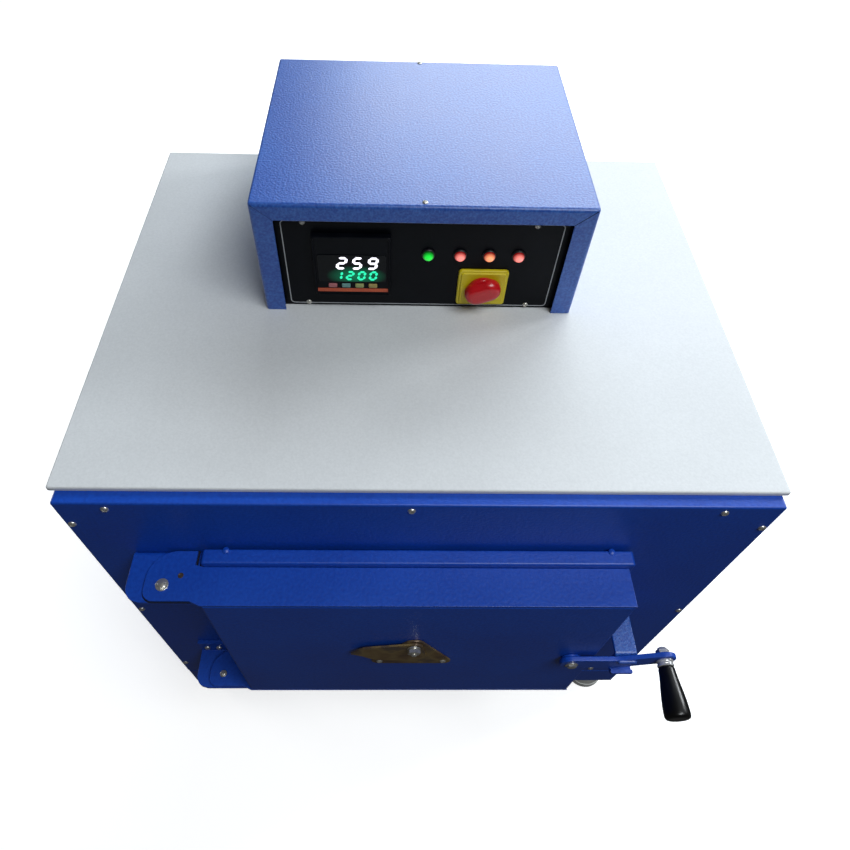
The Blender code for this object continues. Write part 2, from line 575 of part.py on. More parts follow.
def make_control_box():
    """Cover, chassis tray and black front panel."""
    cover = sheet_box("control_cover", (-BOX_HALF, BOX_FRONT, TOP + GAP), (BOX_HALF, BOX_BACK, BOX_TOP),
                      BOX_SHEET, ["-z"], "blue_paint")
    window = BOX_HALF - BOX_FLANGE
    mill(cover, (-window, BOX_FRONT - 5, TOP - 5), (window, BOX_FRONT + 4, BOX_TOP - BOX_FLANGE))
    inside = BOX_HALF - BOX_SHEET - GAP
    sheet_box("control_chassis", (-inside, PANEL_BACK + GAP, TOP + GAP),
              (inside, BOX_BACK - BOX_SHEET - GAP, TOP + 12), BOX_SHEET, ["+z"], "zinc_steel")
    panel = block("control_panel", (-inside, PANEL_FRONT, TOP + 1),
                  (inside, PANEL_BACK, BOX_TOP - BOX_SHEET - GAP), "panel_black")
    reach = CONTROLLER_SIZE / 2 - 2
    mill(panel, (CONTROLLER_X - reach, PANEL_FRONT - 5, CONTROLLER_Z - reach),
         (CONTROLLER_X + reach, PANEL_BACK + 5, CONTROLLER_Z + reach))
    proud, stem, stem_end = 7.5, 5.0, 32.0
    for name, x, finish in LAMPS:
        drill(panel, (x, PANEL_FRONT - 5, LAMP_Z), (0, 1, 0), 12, stem + 0.4, 12)
        profile = [(0, 0), (4, 0.6), (LAMP_RADIUS, 3), (LAMP_RADIUS, proud), (stem, proud),
                   (stem, stem_end), (0, stem_end)]
        turned(name, profile, (x, PANEL_FRONT - proud - GAP, LAMP_Z), (0, 1, 0), finish, 12)


def make_controller():
    """Square temperature controller: bezel, case behind the panel, and four keys."""
    half = CONTROLLER_SIZE / 2
    front, back = PANEL_FRONT - 6.0, PANEL_FRONT - GAP
    bezel = block("controller_bezel", (CONTROLLER_X - half, front, CONTROLLER_Z - half),
                  (CONTROLLER_X + half, back, CONTROLLER_Z + half), "black_plastic")
    body = half - 2.5
    block("controller_case", (CONTROLLER_X - body, PANEL_FRONT, CONTROLLER_Z - body),
          (CONTROLLER_X + body, PANEL_FRONT + 62, CONTROLLER_Z + body), "black_plastic")
    colours = ("key_pink", "key_teal", "key_lime", "key_amber")
    keys = []
    for number, colour in enumerate(colours):
        x = CONTROLLER_X + (number - 1.5) * KEY_PITCH
        wide, high = KEY_HALF_WIDTH, KEY_HALF_HEIGHT
        room = 0.4                        # pocket left round the key
        mill(bezel, (x - wide - room, front - 5, KEY_Z - high - room),
             (x + wide + room, front + 4.2, KEY_Z + high + room))
        key = block(f"key_{number + 1}", (x - wide, front - 0.9, KEY_Z - high),
                    (x + wide, front + 2.8, KEY_Z + high), colour)
        pivot(f"key_{number + 1}_slide", (x, front, KEY_Z), [key])
        keys.append(key)
    return keys


def make_switch():
    """Rotary mains switch: yellow plate, red knob with a grip bar, and the contact block behind."""
    half = SWITCH_SIZE / 2
    front, back = PANEL_FRONT - 4.5, PANEL_FRONT - GAP
    plate = block("switch_plate", (SWITCH_X - half, front, SWITCH_Z - half),
                  (SWITCH_X + half, back, SWITCH_Z + half), "yellow_plastic", 1.0)
    spindle, disc = 4.0, 18.0
    drill(plate, (SWITCH_X, front - 5, SWITCH_Z), (0, 1, 0), 15, spindle + 0.6)
    block("switch_contacts", (SWITCH_X - 22, PANEL_BACK + GAP, SWITCH_Z - 18),
          (SWITCH_X + 22, PANEL_BACK + 42, SWITCH_Z + 22), "black_plastic")
    base = front - GAP
    profile = [(0, 4), (spindle, 4), (spindle, 0), (disc, 0), (disc, -4), (disc - 2, -5.5), (0, -5.5)]
    knob = turned("switch_knob", profile, (SWITCH_X, base, SWITCH_Z), (0, 1, 0), "red_plastic", 20)
    bar_mesh = box_mesh((-17, -14, -5.5), (17, -4, 5.5))
    bevel_edges(bar_mesh, lambda a, b: True, 1.5, 2)
    bar_angle = math.radians(-38)
    turn = Matrix.Translation((SWITCH_X, base, SWITCH_Z)) @ Matrix.Rotation(bar_angle, 4, "Y")
    bmesh.ops.transform(bar_mesh, matrix=turn, verts=bar_mesh.verts)
    cutter(knob, make_object("switch_knob_bar", bar_mesh, None), "UNION")
    pivot("switch_axis", (SWITCH_X, base, SWITCH_Z), [knob])


def make_inner_electrics():
    """Contactor and terminal row on the chassis tray."""
    floor = TOP + GAP + BOX_SHEET + GAP
    back = PANEL_BACK
    block("contactor", (-30, back + 120, floor), (30, back + 200, floor + 75), "black_plastic", 2.0)
    block("terminal_row", (50, back + 140, floor), (140, back + 170, floor + 35), "ceramic", 1.0)


def main():
    clear_scene()
    make_stand()
    make_case()
    make_insulation()
    make_chamber()
    make_rear_fittings()
    upper_plate = DOOR_TOP - HINGE_PLATE - GAP
    lower_plate = DOOR_BOTTOM - 3.4
    make_bracket("upper_hinge_bracket", upper_plate, upper_plate - 30)
    make_bracket("lower_hinge_bracket", lower_plate, lower_plate + 26)
    make_hinge_bolt("upper_hinge_bolt", DOOR_TOP, upper_plate - BRACKET)
    make_hinge_bolt("lower_hinge_bolt", DOOR_BOTTOM + HINGE_PLATE, lower_plate - BRACKET)
    door_pieces = make_door()
    plate, flap, sight_bolt = make_sight_hole()
    lever, lever_bolt, stud, grip = make_latch()
    door_axis = pivot("door_axis", (PIN_X, PIN_Y, CHAMBER_Z), door_pieces + [plate, sight_bolt, lever_bolt])
    pivot("sight_flap_axis", (SIGHT_X + 1, DOOR_FACE, SIGHT_PIVOT_Z), [flap], door_axis)
    lever_axis = pivot("lever_axis", (LEVER_X, DOOR_FACE, LEVER_Z), [lever, stud], door_axis)
    pivot("grip_axis", (EYE_X, GRIP_START, EYE_Z), [grip], lever_axis)
    make_control_box()
    make_controller()
    make_switch()
    make_inner_electrics()


main()
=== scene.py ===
"""Looks of a laboratory muffle furnace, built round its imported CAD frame. Sizes are in millimetres."""
import math

import bmesh
import bpy
import numpy as np
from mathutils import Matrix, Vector


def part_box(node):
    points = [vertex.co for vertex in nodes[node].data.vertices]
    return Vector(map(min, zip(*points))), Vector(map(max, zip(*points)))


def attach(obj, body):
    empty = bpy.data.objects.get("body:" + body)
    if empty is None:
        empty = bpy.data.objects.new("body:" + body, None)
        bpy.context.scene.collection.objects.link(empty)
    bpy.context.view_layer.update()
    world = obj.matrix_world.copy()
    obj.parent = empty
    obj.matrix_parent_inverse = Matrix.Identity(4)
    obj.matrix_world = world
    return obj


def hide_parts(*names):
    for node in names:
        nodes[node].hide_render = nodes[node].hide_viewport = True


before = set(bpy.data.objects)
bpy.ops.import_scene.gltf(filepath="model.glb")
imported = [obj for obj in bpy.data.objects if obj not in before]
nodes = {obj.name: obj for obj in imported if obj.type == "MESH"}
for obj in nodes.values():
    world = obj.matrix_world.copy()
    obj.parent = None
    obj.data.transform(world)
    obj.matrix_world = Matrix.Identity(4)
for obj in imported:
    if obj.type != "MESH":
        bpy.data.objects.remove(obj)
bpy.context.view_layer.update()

# Camera, floor and light. The camera looks down over the front edge of the top cover. Four soft area
# lights stand in for windows and a ceiling, and the pale floor is kept out of reflections.
MM = 0.001


def span(node):
    """Lowest and highest corner of a CAD node, in millimetres."""
    low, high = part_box(node)
    return np.array(low) * 1000, np.array(high) * 1000


cover_low, cover_high = span("top_cover")
fascia_low, fascia_high = span("front_fascia")
top = cover_high[2]
cover_front = cover_low[1]
face = fascia_low[1]

camera_data = bpy.data.cameras.new("camera")
camera_place = (-29.6, cover_front - 263.0, top + 478.2)
camera_turn = (38.298, -1.589, -0.414)
camera_data.lens = 28.035
camera_data.shift_x, camera_data.shift_y = 0.02215, -0.05296
camera = bpy.data.objects.new("camera", camera_data)
bpy.context.scene.collection.objects.link(camera)
camera.location = [v * MM for v in camera_place]
camera.rotation_euler = [math.radians(a) for a in camera_turn]
bpy.context.scene.camera = camera
bpy.context.scene.view_settings.view_transform = "Standard"


def linear(code):
    """An sRGB hex colour as linear RGBA: c / 12.92 near black, ((c + 0.055) / 1.055) ** 2.4 above."""
    c = np.array([int(code[i:i + 2], 16) for i in (1, 3, 5)]) / 255
    return (*np.where(c <= 0.04045, c / 12.92, ((c + 0.055) / 1.055) ** 2.4).tolist(), 1.0)


def feed(tree, node, inputs):
    """Gives a node's sockets their values, or links them to the sockets that feed them."""
    for key, value in inputs.items():
        if isinstance(value, bpy.types.NodeSocket):
            tree.links.new(value, node.inputs[key])
        else:
            node.inputs[key].default_value = value


def add(tree, kind, inputs=None, **settings):
    """Adds one shader node with its properties and what feeds its sockets."""
    new = tree.nodes.new("ShaderNode" + kind)
    for key, value in settings.items():
        setattr(new, key, value)
    feed(tree, new, inputs or {})
    return new


def new_material(name, **sockets):
    """A material with only its Principled shader, and that shader's plain socket values."""
    material = bpy.data.materials.new(name)
    material.use_nodes = True
    tree = material.node_tree
    shader = tree.nodes["Principled BSDF"]
    feed(tree, shader, {key.replace("_", " "): value for key, value in sockets.items()})
    return material, tree, shader


floor_mesh = bpy.data.meshes.new("floor")
floor_half = 6.0
floor_mesh.from_pydata([(x * floor_half, y * floor_half, 0) for x, y in ((-1, -1), (1, -1), (1, 1), (-1, 1))],
                       [], [(0, 1, 2, 3)])
floor = bpy.data.objects.new("floor", floor_mesh)
bpy.context.scene.collection.objects.link(floor)
floor_paint = new_material("pale_studio_floor", Base_Color=linear("#F1F1F0"), Roughness=0.9,
                           Emission_Color=linear("#FFFFFF"), Emission_Strength=0.62)[0]
floor_mesh.materials.append(floor_paint)
floor.visible_diffuse = floor.visible_glossy = False

for name, place, size, power, tint, aim in (
        ("window_behind", (0.85, 2.05, 1.95), (2.5, 1.2), 62.0, (0.86, 0.94, 1.0), (0.0, 0.1, 0.6)),
        ("ceiling_front", (0.75, -0.85, 2.4), (1.4, 0.8), 30.0, (0.93, 0.97, 1.0), (0.0, -0.1, 0.5)),
        ("low_fill_left", (-2.3, 0.9, 0.35), (0.8, 0.5), 14.0, (1.0, 1.0, 1.0), (0.0, 0.2, 0.3)),
        ("window_right", (3.0, 1.1, 2.0), (0.8, 0.8), 44.0, (0.93, 0.97, 1.0), (0.0, 0.0, 0.6))):
    lamp = bpy.data.lights.new(name, "AREA")
    lamp.shape = "RECTANGLE"
    lamp.size, lamp.size_y = size
    lamp.energy = power
    lamp.color = tint
    light = bpy.data.objects.new(name, lamp)
    bpy.context.scene.collection.objects.link(light)
    light.location = place
    light.rotation_euler = (Vector(aim) - Vector(place)).to_track_quat("-Z", "Y").to_euler()

world = bpy.data.worlds.new("studio")
world.use_nodes = True
feed(world.node_tree, world.node_tree.nodes["Background"], {"Color": (1, 1, 1, 1), "Strength": 0.045})
bpy.context.scene.world = world


# Blue powder coat. Nearly all the sheet metal is mild steel, folded, spot-welded and sprayed with a
# polyester powder that is baked on. It flows to a fine orange peel with a soft gloss.
def orange_peel(tree, shader, coordinates, pitch, height):
    """Bump of a baked powder coat: soft noise whose lumps are pitch millimetres apart."""
    lumps = add(tree, "TexNoise", {"Vector": coordinates, "Scale": 1000 / pitch, "Detail": 1.5,
                                   "Roughness": 0.45})
    relief = add(tree, "Bump", {"Height": lumps.outputs["Fac"], "Strength": 0.55,
                                "Distance": height * MM})
    feed(tree, shader, {"Normal": relief.outputs["Normal"]})
    return lumps


def powder_coat(name, dark, light, roughness, pitch=2.4, height=0.35, gloss_coat=0.2, speck_and_glint=1.0):
    """Powder coat between two shades, patchy over a hand's width and specked from lump to lump. The
    specks take the lighter shade on the lumps' tops; where the shades lie far apart they are painted glints.
    """
    material, tree, shader = new_material(name, Coat_Weight=gloss_coat, Coat_Roughness=0.3)
    place = add(tree, "TexCoord").outputs["Object"]
    lumps = orange_peel(tree, shader, place, pitch, height)
    patches = add(tree, "TexNoise", {"Vector": place, "Scale": 9.0, "Detail": 3.0})
    mottle_and_glint = add(tree, "Math", {0: lumps.outputs["Fac"], 1: speck_and_glint, 2: patches.outputs["Fac"]},
                 operation="MULTIPLY_ADD")
    share = add(tree, "MapRange", {"Value": mottle_and_glint.outputs[0], "From Min": 0.25 + 0.45 * speck_and_glint,
                                   "From Max": 0.75 + 0.6 * speck_and_glint})
    colour = add(tree, "Mix", {"Factor": share.outputs[0], "A": linear(dark), "B": linear(light)},
                 data_type="RGBA")
    gloss = add(tree, "MapRange", {"Value": patches.outputs["Fac"], "To Min": roughness - 0.06,
                                   "To Max": roughness + 0.08})
    feed(tree, shader, {"Base Color": colour.outputs["Result"], "Roughness": gloss.outputs[0]})
    return material


blue_coat = powder_coat("blue_powder_coat", "#0C42AC", "#1250C0", 0.42, 3.0, 0.45)


# Feet. Four moulded grey rubber feet, a flared pad with a groove above it, screwed up into the plinth.
def grid_faces(rows, columns, wrap_rows=False, wrap_columns=True):
    """Quads between neighbours of a grid whose points are numbered row by row."""
    r = np.arange(rows if wrap_rows else rows - 1)
    c = np.arange(columns if wrap_columns else columns - 1)
    a, b = np.meshgrid(r, c, indexing="ij")
    a2, b2 = (a + 1) % rows, (b + 1) % columns
    corners = np.stack([a * columns + b, a * columns + b2, a2 * columns + b2, a2 * columns + b], -1)
    return corners.reshape(-1, 4).tolist()


def closed_grid(points, wrap_rows=False):
    """Vertices and faces of a grid (rows, columns, 3) that goes round in its columns and is capped."""
    rows, columns = points.shape[:2]
    faces = grid_faces(rows, columns, wrap_rows)
    if not wrap_rows:
        faces += [list(range(columns)), list(range((rows - 1) * columns, rows * columns))]
    return points.reshape(-1, 3), faces


def join(*shells):
    """Several (vertices, faces) shells as one."""
    starts = np.cumsum([0] + [len(v) for v, _ in shells])
    faces = [[i + s for i in f] for s, (_, fs) in zip(starts, shells) for f in fs]
    return np.concatenate([v for v, _ in shells]), faces


def lathe(profile, base, direction, segments=40):
    """A turned shell: at angle t the point is base + h * axis + r * (u cos t + v sin t).

    A profile row is (r, h), or (r, h, 6) for a hexagon that is r across its flats' half width, where r
    is divided by cos(t folded to +-30 degrees).
    """
    axis = Vector(direction).normalized()
    u = axis.orthogonal().normalized() if abs(axis.z) < 0.9 else Vector((1, 0, 0))
    v = axis.cross(u)
    t = np.arange(segments) * 2 * np.pi / segments
    radii = []
    for row in profile:
        fold = 1.0
        if len(row) > 2:
            sector = 2 * np.pi / row[2]
            fold = 1 / np.cos((t + sector / 2) % sector - sector / 2)
        radii.append(row[0] * fold * np.ones(segments))
    radii = np.array(radii)[:, :, None]
    heights = np.array([row[1] for row in profile])[:, None, None]
    spoke = np.cos(t)[:, None] * np.array(u) + np.sin(t)[:, None] * np.array(v)
    return closed_grid(np.array(base) + heights * np.array(axis) + radii * spoke)


def build(name, shell, material, body, slot, *replaced, sharp=32):
    """Makes a piece of a shell in millimetres, its faces pointing out, and fits it to the frame."""
    mesh = bpy.data.meshes.new(name)
    mesh.from_pydata((shell[0] * MM).tolist(), [], shell[1])
    bm = bmesh.new()
    bm.from_mesh(mesh)
    bmesh.ops.recalc_face_normals(bm, faces=bm.faces)
    bm.to_mesh(mesh)
    bm.free()
    mesh.shade_smooth()
    mesh.set_sharp_from_angle(angle=math.radians(sharp))
    mesh.materials.append(material)
    piece = bpy.data.objects.new(name, mesh)
    bpy.context.scene.collection.objects.link(piece)
    piece.modifiers.new("flat_faces_stay_flat", "WEIGHTED_NORMAL").keep_sharp = True
    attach(piece, body)
    if replaced:
        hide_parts(*replaced)
    return piece


def grainy(name, dark, light, roughness, grain, depth, metallic=0.0, **sockets):
    """A matt solid with a grain of the given size in millimetres, in its colour and its relief."""
    material, tree, shader = new_material(name, Metallic=metallic, **sockets)
    place = add(tree, "TexCoord").outputs["Object"]
    fine = add(tree, "TexNoise", {"Vector": place, "Scale": 1000 / grain, "Detail": 4.0})
    broad = add(tree, "TexNoise", {"Vector": place, "Scale": 60 / grain, "Detail": 3.0})
    both = add(tree, "Math", {0: fine.outputs["Fac"], 1: broad.outputs["Fac"]}, operation="ADD")
    share = add(tree, "MapRange", {"Value": both.outputs[0], "From Min": 0.65, "From Max": 1.35})
    colour = add(tree, "Mix", {"Factor": share.outputs[0], "A": linear(dark), "B": linear(light)},
                 data_type="RGBA")
    relief = add(tree, "Bump", {"Height": fine.outputs["Fac"], "Strength": 0.6, "Distance": depth * MM})
    gloss = add(tree, "MapRange", {"Value": broad.outputs["Fac"], "To Min": roughness - 0.07,
                                   "To Max": roughness + 0.07})
    feed(tree, shader, {"Base Color": colour.outputs["Result"], "Normal": relief.outputs["Normal"],
                        "Roughness": gloss.outputs[0]})
    return material


foot_rubber = grainy("grey_moulded_rubber", "#CFD1CD", "#E0E2DE", 0.6, 1.2, 0.15)
for name in ("foot_front_left", "foot_front_right", "foot_back_left", "foot_back_right"):
    low, high = span(name)
    middle = (low + high) / 2
    height = high[2]
    profile = [(24.5, 0), (26.4, 1.0), (27, 2.6), (27, 10.5), (26.2, 12), (24.6, 12.6), (24.6, 14.2),
               (25.6, 15), (22.4, height - 2.5), (21.6, height - 0.8), (20.4, height)]
    build(name + "_pad", lathe(profile, (middle[0], middle[1], 0), (0, 0, 1)), foot_rubber, "furnace",
          "foot_rubber", name)


# Plinth. One steel strip folded to a frame under the case, open below, with soft folded corners.
def rounded(centre, half, radius, steps=6):
    """Rounded rectangle: each corner is an arc about the point that lies radius in from both sides."""
    half = np.array(half, float)
    radius = min(radius, *half)
    turn = np.arange(4)[:, None] * np.pi / 2 + np.linspace(0, np.pi / 2, steps)[None, :]
    corners = np.array([[1, 1], [-1, 1], [-1, -1], [1, -1]]) * (half - radius)
    points = corners[:, None, :] + radius * np.stack([np.cos(turn), np.sin(turn)], -1)
    return np.array(centre) + points.reshape(-1, 2)


def loft(rings, axis, wrap=False, steps=6):
    """A shell through rounded rectangles, each (centre, half sizes, corner radius, place along axis)."""
    rows = [np.insert(rounded(c, h, r, steps), "xyz".index(axis), level, axis=1) for c, h, r, level in rings]
    return closed_grid(np.array(rows), wrap)


def fold(centre, half, corner, start, end, bend=2.0, steps=5):
    """Rings up a sheet's side from start, round a bend and on to its face at end.

    At angle t the ring stands bend * (1 - cos t) in and bend * (1 - sin t) short of the face.
    """
    half = np.array(half, float)
    way = math.copysign(1, end - start)
    t = np.linspace(0, np.pi / 2, steps)
    rings = [(centre, half, corner, start)]
    rings += [(centre, half - bend * (1 - math.cos(a)), max(corner - bend * (1 - math.cos(a)), 0.3),
               end - way * bend * (1 - math.sin(a))) for a in t]
    return rings + [(centre, half - bend - 1.0, 0.3, end)]


def middle_and_half(low, high, axis):
    """Centre and half sizes of a box, seen along an axis."""
    keep = [i for i in range(3) if i != "xyz".index(axis)]
    return ((low + high) / 2)[keep], ((high - low) / 2)[keep]


low, high = span("plinth")
centre, half = middle_and_half(low, high, "z")
rings = [(centre, half - 2, 1.5, high[2] - 2), (centre, half - 2, 1.5, low[2] + 0.6),
         (centre, half - 1, 2.2, low[2])]
build("plinth_frame", loft(rings + fold(centre, half, 3.0, low[2] + 0.6, high[2], 1.2), "z"), blue_coat,
      "furnace", "blue_paint", "plinth")


# Casing. One sheet wrapped round the sides, top and bottom of the furnace, bent to a 3 mm radius.
low, high = span("casing")
centre, half = middle_and_half(low, high, "y")
sheet = 1.5
rings = [(centre, half, 3.0, low[1]), (centre, half, 3.0, high[1]), (centre, half - sheet, 1.5, high[1]),
         (centre, half - sheet, 1.5, low[1])]
build("casing_wrap", loft(rings, "y", wrap=True, steps=8), blue_coat, "furnace", "blue_paint", "casing")


# Fascia. The front sheet, folded back all round, with the chamber's mouth cut in it. Cross-head screws
# near its edges hold it to the casing.
centre, half = middle_and_half(fascia_low, fascia_high, "y")
seam = fascia_high[1]
muffle_low, muffle_high = span("muffle")
chamber_z = (muffle_low[2] + muffle_high[2]) / 2
mouth = 104.0
rings = fold(centre, half, 2.5, seam, face, 2.0)
rings += [((0, chamber_z), (mouth + 1.2, mouth + 1.2), 3.0, face),
          ((0, chamber_z), (mouth, mouth), 2.5, face + 0.6),
          ((0, chamber_z), (mouth, mouth), 2.5, face + sheet),
          (centre, half - sheet - 1, 1.5, face + sheet),
          (centre, half - sheet, 1.5, face + sheet + 1), (centre, half - sheet, 1.5, seam)]
build("fascia_sheet", loft(rings, "y", wrap=True), blue_coat, "furnace", "blue_paint", "front_fascia")


def screw_head(place, direction, radius=3.6, height=1.9, rows=9, segments=32):
    """Pan head with a cross recess: a dome height * (1 - (r / R) ** 4) that dips inside the cross.

    The cross is where the smaller of |x| and |y| is under 0.16 R, out to 0.62 R from the middle.
    """
    axis = Vector(direction).normalized()
    u = axis.orthogonal().normalized()
    v = axis.cross(u)
    r = np.linspace(1.0, 0.06, rows)[:, None] * radius
    t = np.arange(segments)[None, :] * 2 * np.pi / segments
    x, y = r * np.cos(t), r * np.sin(t)
    dome = height * (1 - (r / radius) ** 4) + 0 * t
    arm = np.minimum(abs(x), abs(y)) / (0.16 * radius)
    out = r / (0.62 * radius) + 0 * t
    dip = np.clip(1.5 - arm, 0, 1) * np.clip((1 - out) * 6, 0, 1)
    dome = dome - dip * height * 0.62
    place, axis, u, v = (np.array(a, float) for a in (place, axis, u, v))
    top_rows = place + dome[..., None] * axis + x[..., None] * u + y[..., None] * v
    foot = top_rows[:1] - 0.6 * axis
    return closed_grid(np.concatenate([foot, top_rows]))


def plated(name, colour, roughness, brushed=0.25, metallic=1.0):
    """Plated steel: full metal, with a faint mottle in its gloss from handling."""
    material, tree, shader = new_material(name, Base_Color=linear(colour), Metallic=metallic)
    place = add(tree, "TexCoord").outputs["Object"]
    smudge = add(tree, "TexNoise", {"Vector": place, "Scale": 220.0, "Detail": 4.0})
    gloss = add(tree, "MapRange", {"Value": smudge.outputs["Fac"], "To Min": roughness * (1 - brushed),
                                   "To Max": roughness * (1 + brushed)})
    relief = add(tree, "Bump", {"Height": smudge.outputs["Fac"], "Strength": 0.15, "Distance": 0.1 * MM})
    feed(tree, shader, {"Roughness": gloss.outputs[0], "Normal": relief.outputs["Normal"]})
    return material


zinc = plated("zinc_plated_steel", "#D6D4CC", 0.32, metallic=0.8)


def screws(name, places, direction, radius=3.6, height=1.9, body="furnace"):
    """Like screws as one piece, each with its head at a place and standing out along the direction."""
    heads = [screw_head(place, direction, radius, height) for place in places]
    build(name, join(*heads), zinc, body, "zinc_steel")


places = [(x, top - 14) for x in (-258.5, -9.5, 250.5)] + [(x, fascia_low[2] + 14) for x in (-253, 0, 253)]
places += [(side * 294, top - drop) for side in (-1, 1) for drop in (41, 246, 449)]
screws("fascia_screws", [(x, face, z) for x, z in places], (0, -1, 0))

# Top cover. A grey powder-coated lid with a shallow turned-down edge, a little larger than the case.
grey_coat = powder_coat("grey_powder_coat", "#D2D5D7", "#DCDFE1", 0.52, 2.0, 0.1, 0.05)
centre, half = middle_and_half(cover_low, cover_high, "z")
rings = [(centre, half - 1.5, 1.5, top - 1.5), (centre, half - 1.5, 1.5, cover_low[2]),
         (centre, half - 0.4, 2.0, cover_low[2])]
build("cover_lid", loft(rings + fold(centre, half, 2.5, cover_low[2] + 0.4, top, 1.6), "z"), grey_coat,
      "furnace", "grey_paint", "top_cover")

# Back panel. A flat sheet with pressed ventilation louvres, on cross-head screws round its edge.
back_low, back_high = span("back_panel")
rear = back_high[1]


def finish(material, *names):
    """Gives carried-over CAD nodes their material."""
    for name in names:
        nodes[name].data.materials.clear()
        nodes[name].data.materials.append(material)


finish(blue_coat, "back_panel")


def louvre(x, z, length=124.0, height=11.0, depth=6.5, rows=9, columns=25):
    """A pressed hood, open below: depth * swell * cos(a) out of the sheet, height * swell * sin(a) up.

    The swell is 0.94 * sqrt(1 - s ** 8) + 0.06, where s runs from -1 to 1 along the hood.
    """
    s = np.linspace(-1, 1, columns)[None, :]
    a = np.linspace(0, np.pi / 2, rows)[:, None]
    swell = np.sqrt(np.clip(1 - s ** 8, 0, 1)) * 0.94 + 0.06
    shells = []
    for wall in (0.0, 1.0):
        out = rear + (depth - wall) * swell * np.cos(a)
        up = z + (height - wall) * swell * np.sin(a)
        along = x + s * (length / 2 - wall) + 0 * a
        shells.append(np.stack([along, out, up], -1))
    return closed_grid(np.concatenate([shells[0], shells[1][::-1]]).transpose(1, 0, 2))


first_louvre, louvre_pitch = top - 62.5, 14.0
hoods = [louvre(x, first_louvre - row * louvre_pitch) for x in (-110, 110) for row in range(5)]
build("louvre_hoods", join(*hoods), blue_coat, "furnace", "blue_paint")
edge = 12
places = [(x, z) for x in (-290, 0, 290) for z in (back_low[2] + edge, back_high[2] - edge)]
places += [(x, chamber_z) for x in (-290, 290)]
screws("back_screws", [(x, rear, z) for x, z in places], (0, 1, 0))

# Insulation. Boards of vacuum-formed ceramic fibre fill the case and the door. They are soft, white and
# slightly felted.
fibre = grainy("ceramic_fibre_board", "#DAD3C2", "#EFEADD", 0.95, 2.5, 0.5)
finish(fibre, "insulation_left", "insulation_right", "insulation_top", "insulation_bottom", "insulation_back",
       "door_insulation")

# Muffle. A cast refractory box, gritty and buff, with a dark silicon-carbide plate for a hearth.
firebrick = grainy("cast_refractory", "#B59F78", "#DCCBA6", 0.92, 1.8, 0.6)
finish(firebrick, "muffle")
carbide = grainy("silicon_carbide_plate", "#35322F", "#565350", 0.75, 1.0, 0.3)
finish(carbide, "hearth_plate")

# Heating elements. Resistance wire wound to a close coil, laid back and forth in each side wall's
# pocket, with refractory ribs between its runs.
element_runs = 6
wire_material = plated("oxidised_resistance_wire", "#6A5B52", 0.6)


def serpentine(front, back, low, high):
    """(y, z) points of level runs joined by half turns, close enough together to wind a coil on."""
    pitch = (high - low) / (element_runs - 1)
    bend = pitch / 2
    pieces = []
    for run in range(element_runs):
        z = low + run * pitch
        y = np.linspace(front + bend, back - bend, 60)
        y = y if run % 2 == 0 else y[::-1]
        pieces.append(np.stack([y, np.full(60, z)], -1))
        if run < element_runs - 1:
            way = 1 if run % 2 == 0 else -1
            t = np.linspace(-np.pi / 2, np.pi / 2, 12)[1:-1]
            pieces.append(np.stack([y[-1] + way * bend * np.cos(t), z + bend + bend * np.sin(t)], -1))
    return np.concatenate(pieces)


def tube(path, radius, sides=6):
    """A round tube along a path: each ring is path + radius * (n cos t + b sin t).

    n is the side of the path's direction from a fixed vector, and b is square to both.
    """
    ahead = np.gradient(path, axis=0)
    ahead /= np.linalg.norm(ahead, axis=1, keepdims=True)
    fixed = np.array([0.31, 0.22, 0.93])
    n = np.cross(ahead, fixed)
    n /= np.linalg.norm(n, axis=1, keepdims=True)
    b = np.cross(ahead, n)
    t = np.arange(sides) * 2 * np.pi / sides
    spoke = n[:, None, :] * np.cos(t)[None, :, None] + b[:, None, :] * np.sin(t)[None, :, None]
    return closed_grid(path[:, None, :] + radius * spoke)


wire_radius, coil_radius, coil_pitch, points_a_turn = 0.7, 2.7, 4.4, 9
inset = 3.5
for side in ("left", "right"):
    low, high = span("element_" + side)
    axis_x = (low[0] + high[0]) / 2
    route = serpentine(low[1] + inset, high[1] - inset, low[2] + inset, high[2] - inset)
    length = np.concatenate([[0], np.cumsum(np.linalg.norm(np.diff(route, axis=0), axis=1))])
    along = np.linspace(0, length[-1], int(length[-1] / coil_pitch * points_a_turn))
    y = np.interp(along, length, route[:, 0])
    z = np.interp(along, length, route[:, 1])
    heading = np.stack([np.gradient(y), np.gradient(z)], -1)
    heading /= np.linalg.norm(heading, axis=1, keepdims=True)
    turn = along / coil_pitch * 2 * np.pi
    path = np.stack([axis_x + coil_radius * np.cos(turn), y - heading[:, 1] * coil_radius * np.sin(turn),
                     z + heading[:, 0] * coil_radius * np.sin(turn)], -1)
    build(f"element_{side}_coil", tube(path, wire_radius, 5), wire_material, "furnace", "element_wire",
          "element_" + side)
    pitch = (high[2] - low[2] - 2 * inset) / (element_runs - 1)
    ribs = []
    for run in range(element_runs - 1):
        level = low[2] + inset + (run + 0.5) * pitch
        start = axis_x + math.copysign(4.6, axis_x)
        rib = fold(((low[1] + high[1]) / 2, level), ((high[1] - low[1]) / 2 - 24, 5.0), 3.0, start,
                   start - math.copysign(8.5, axis_x), 2.2)
        ribs.append(loft(rib, "x"))
    build(f"element_{side}_ribs", join(*ribs), firebrick, "furnace", "firebrick")

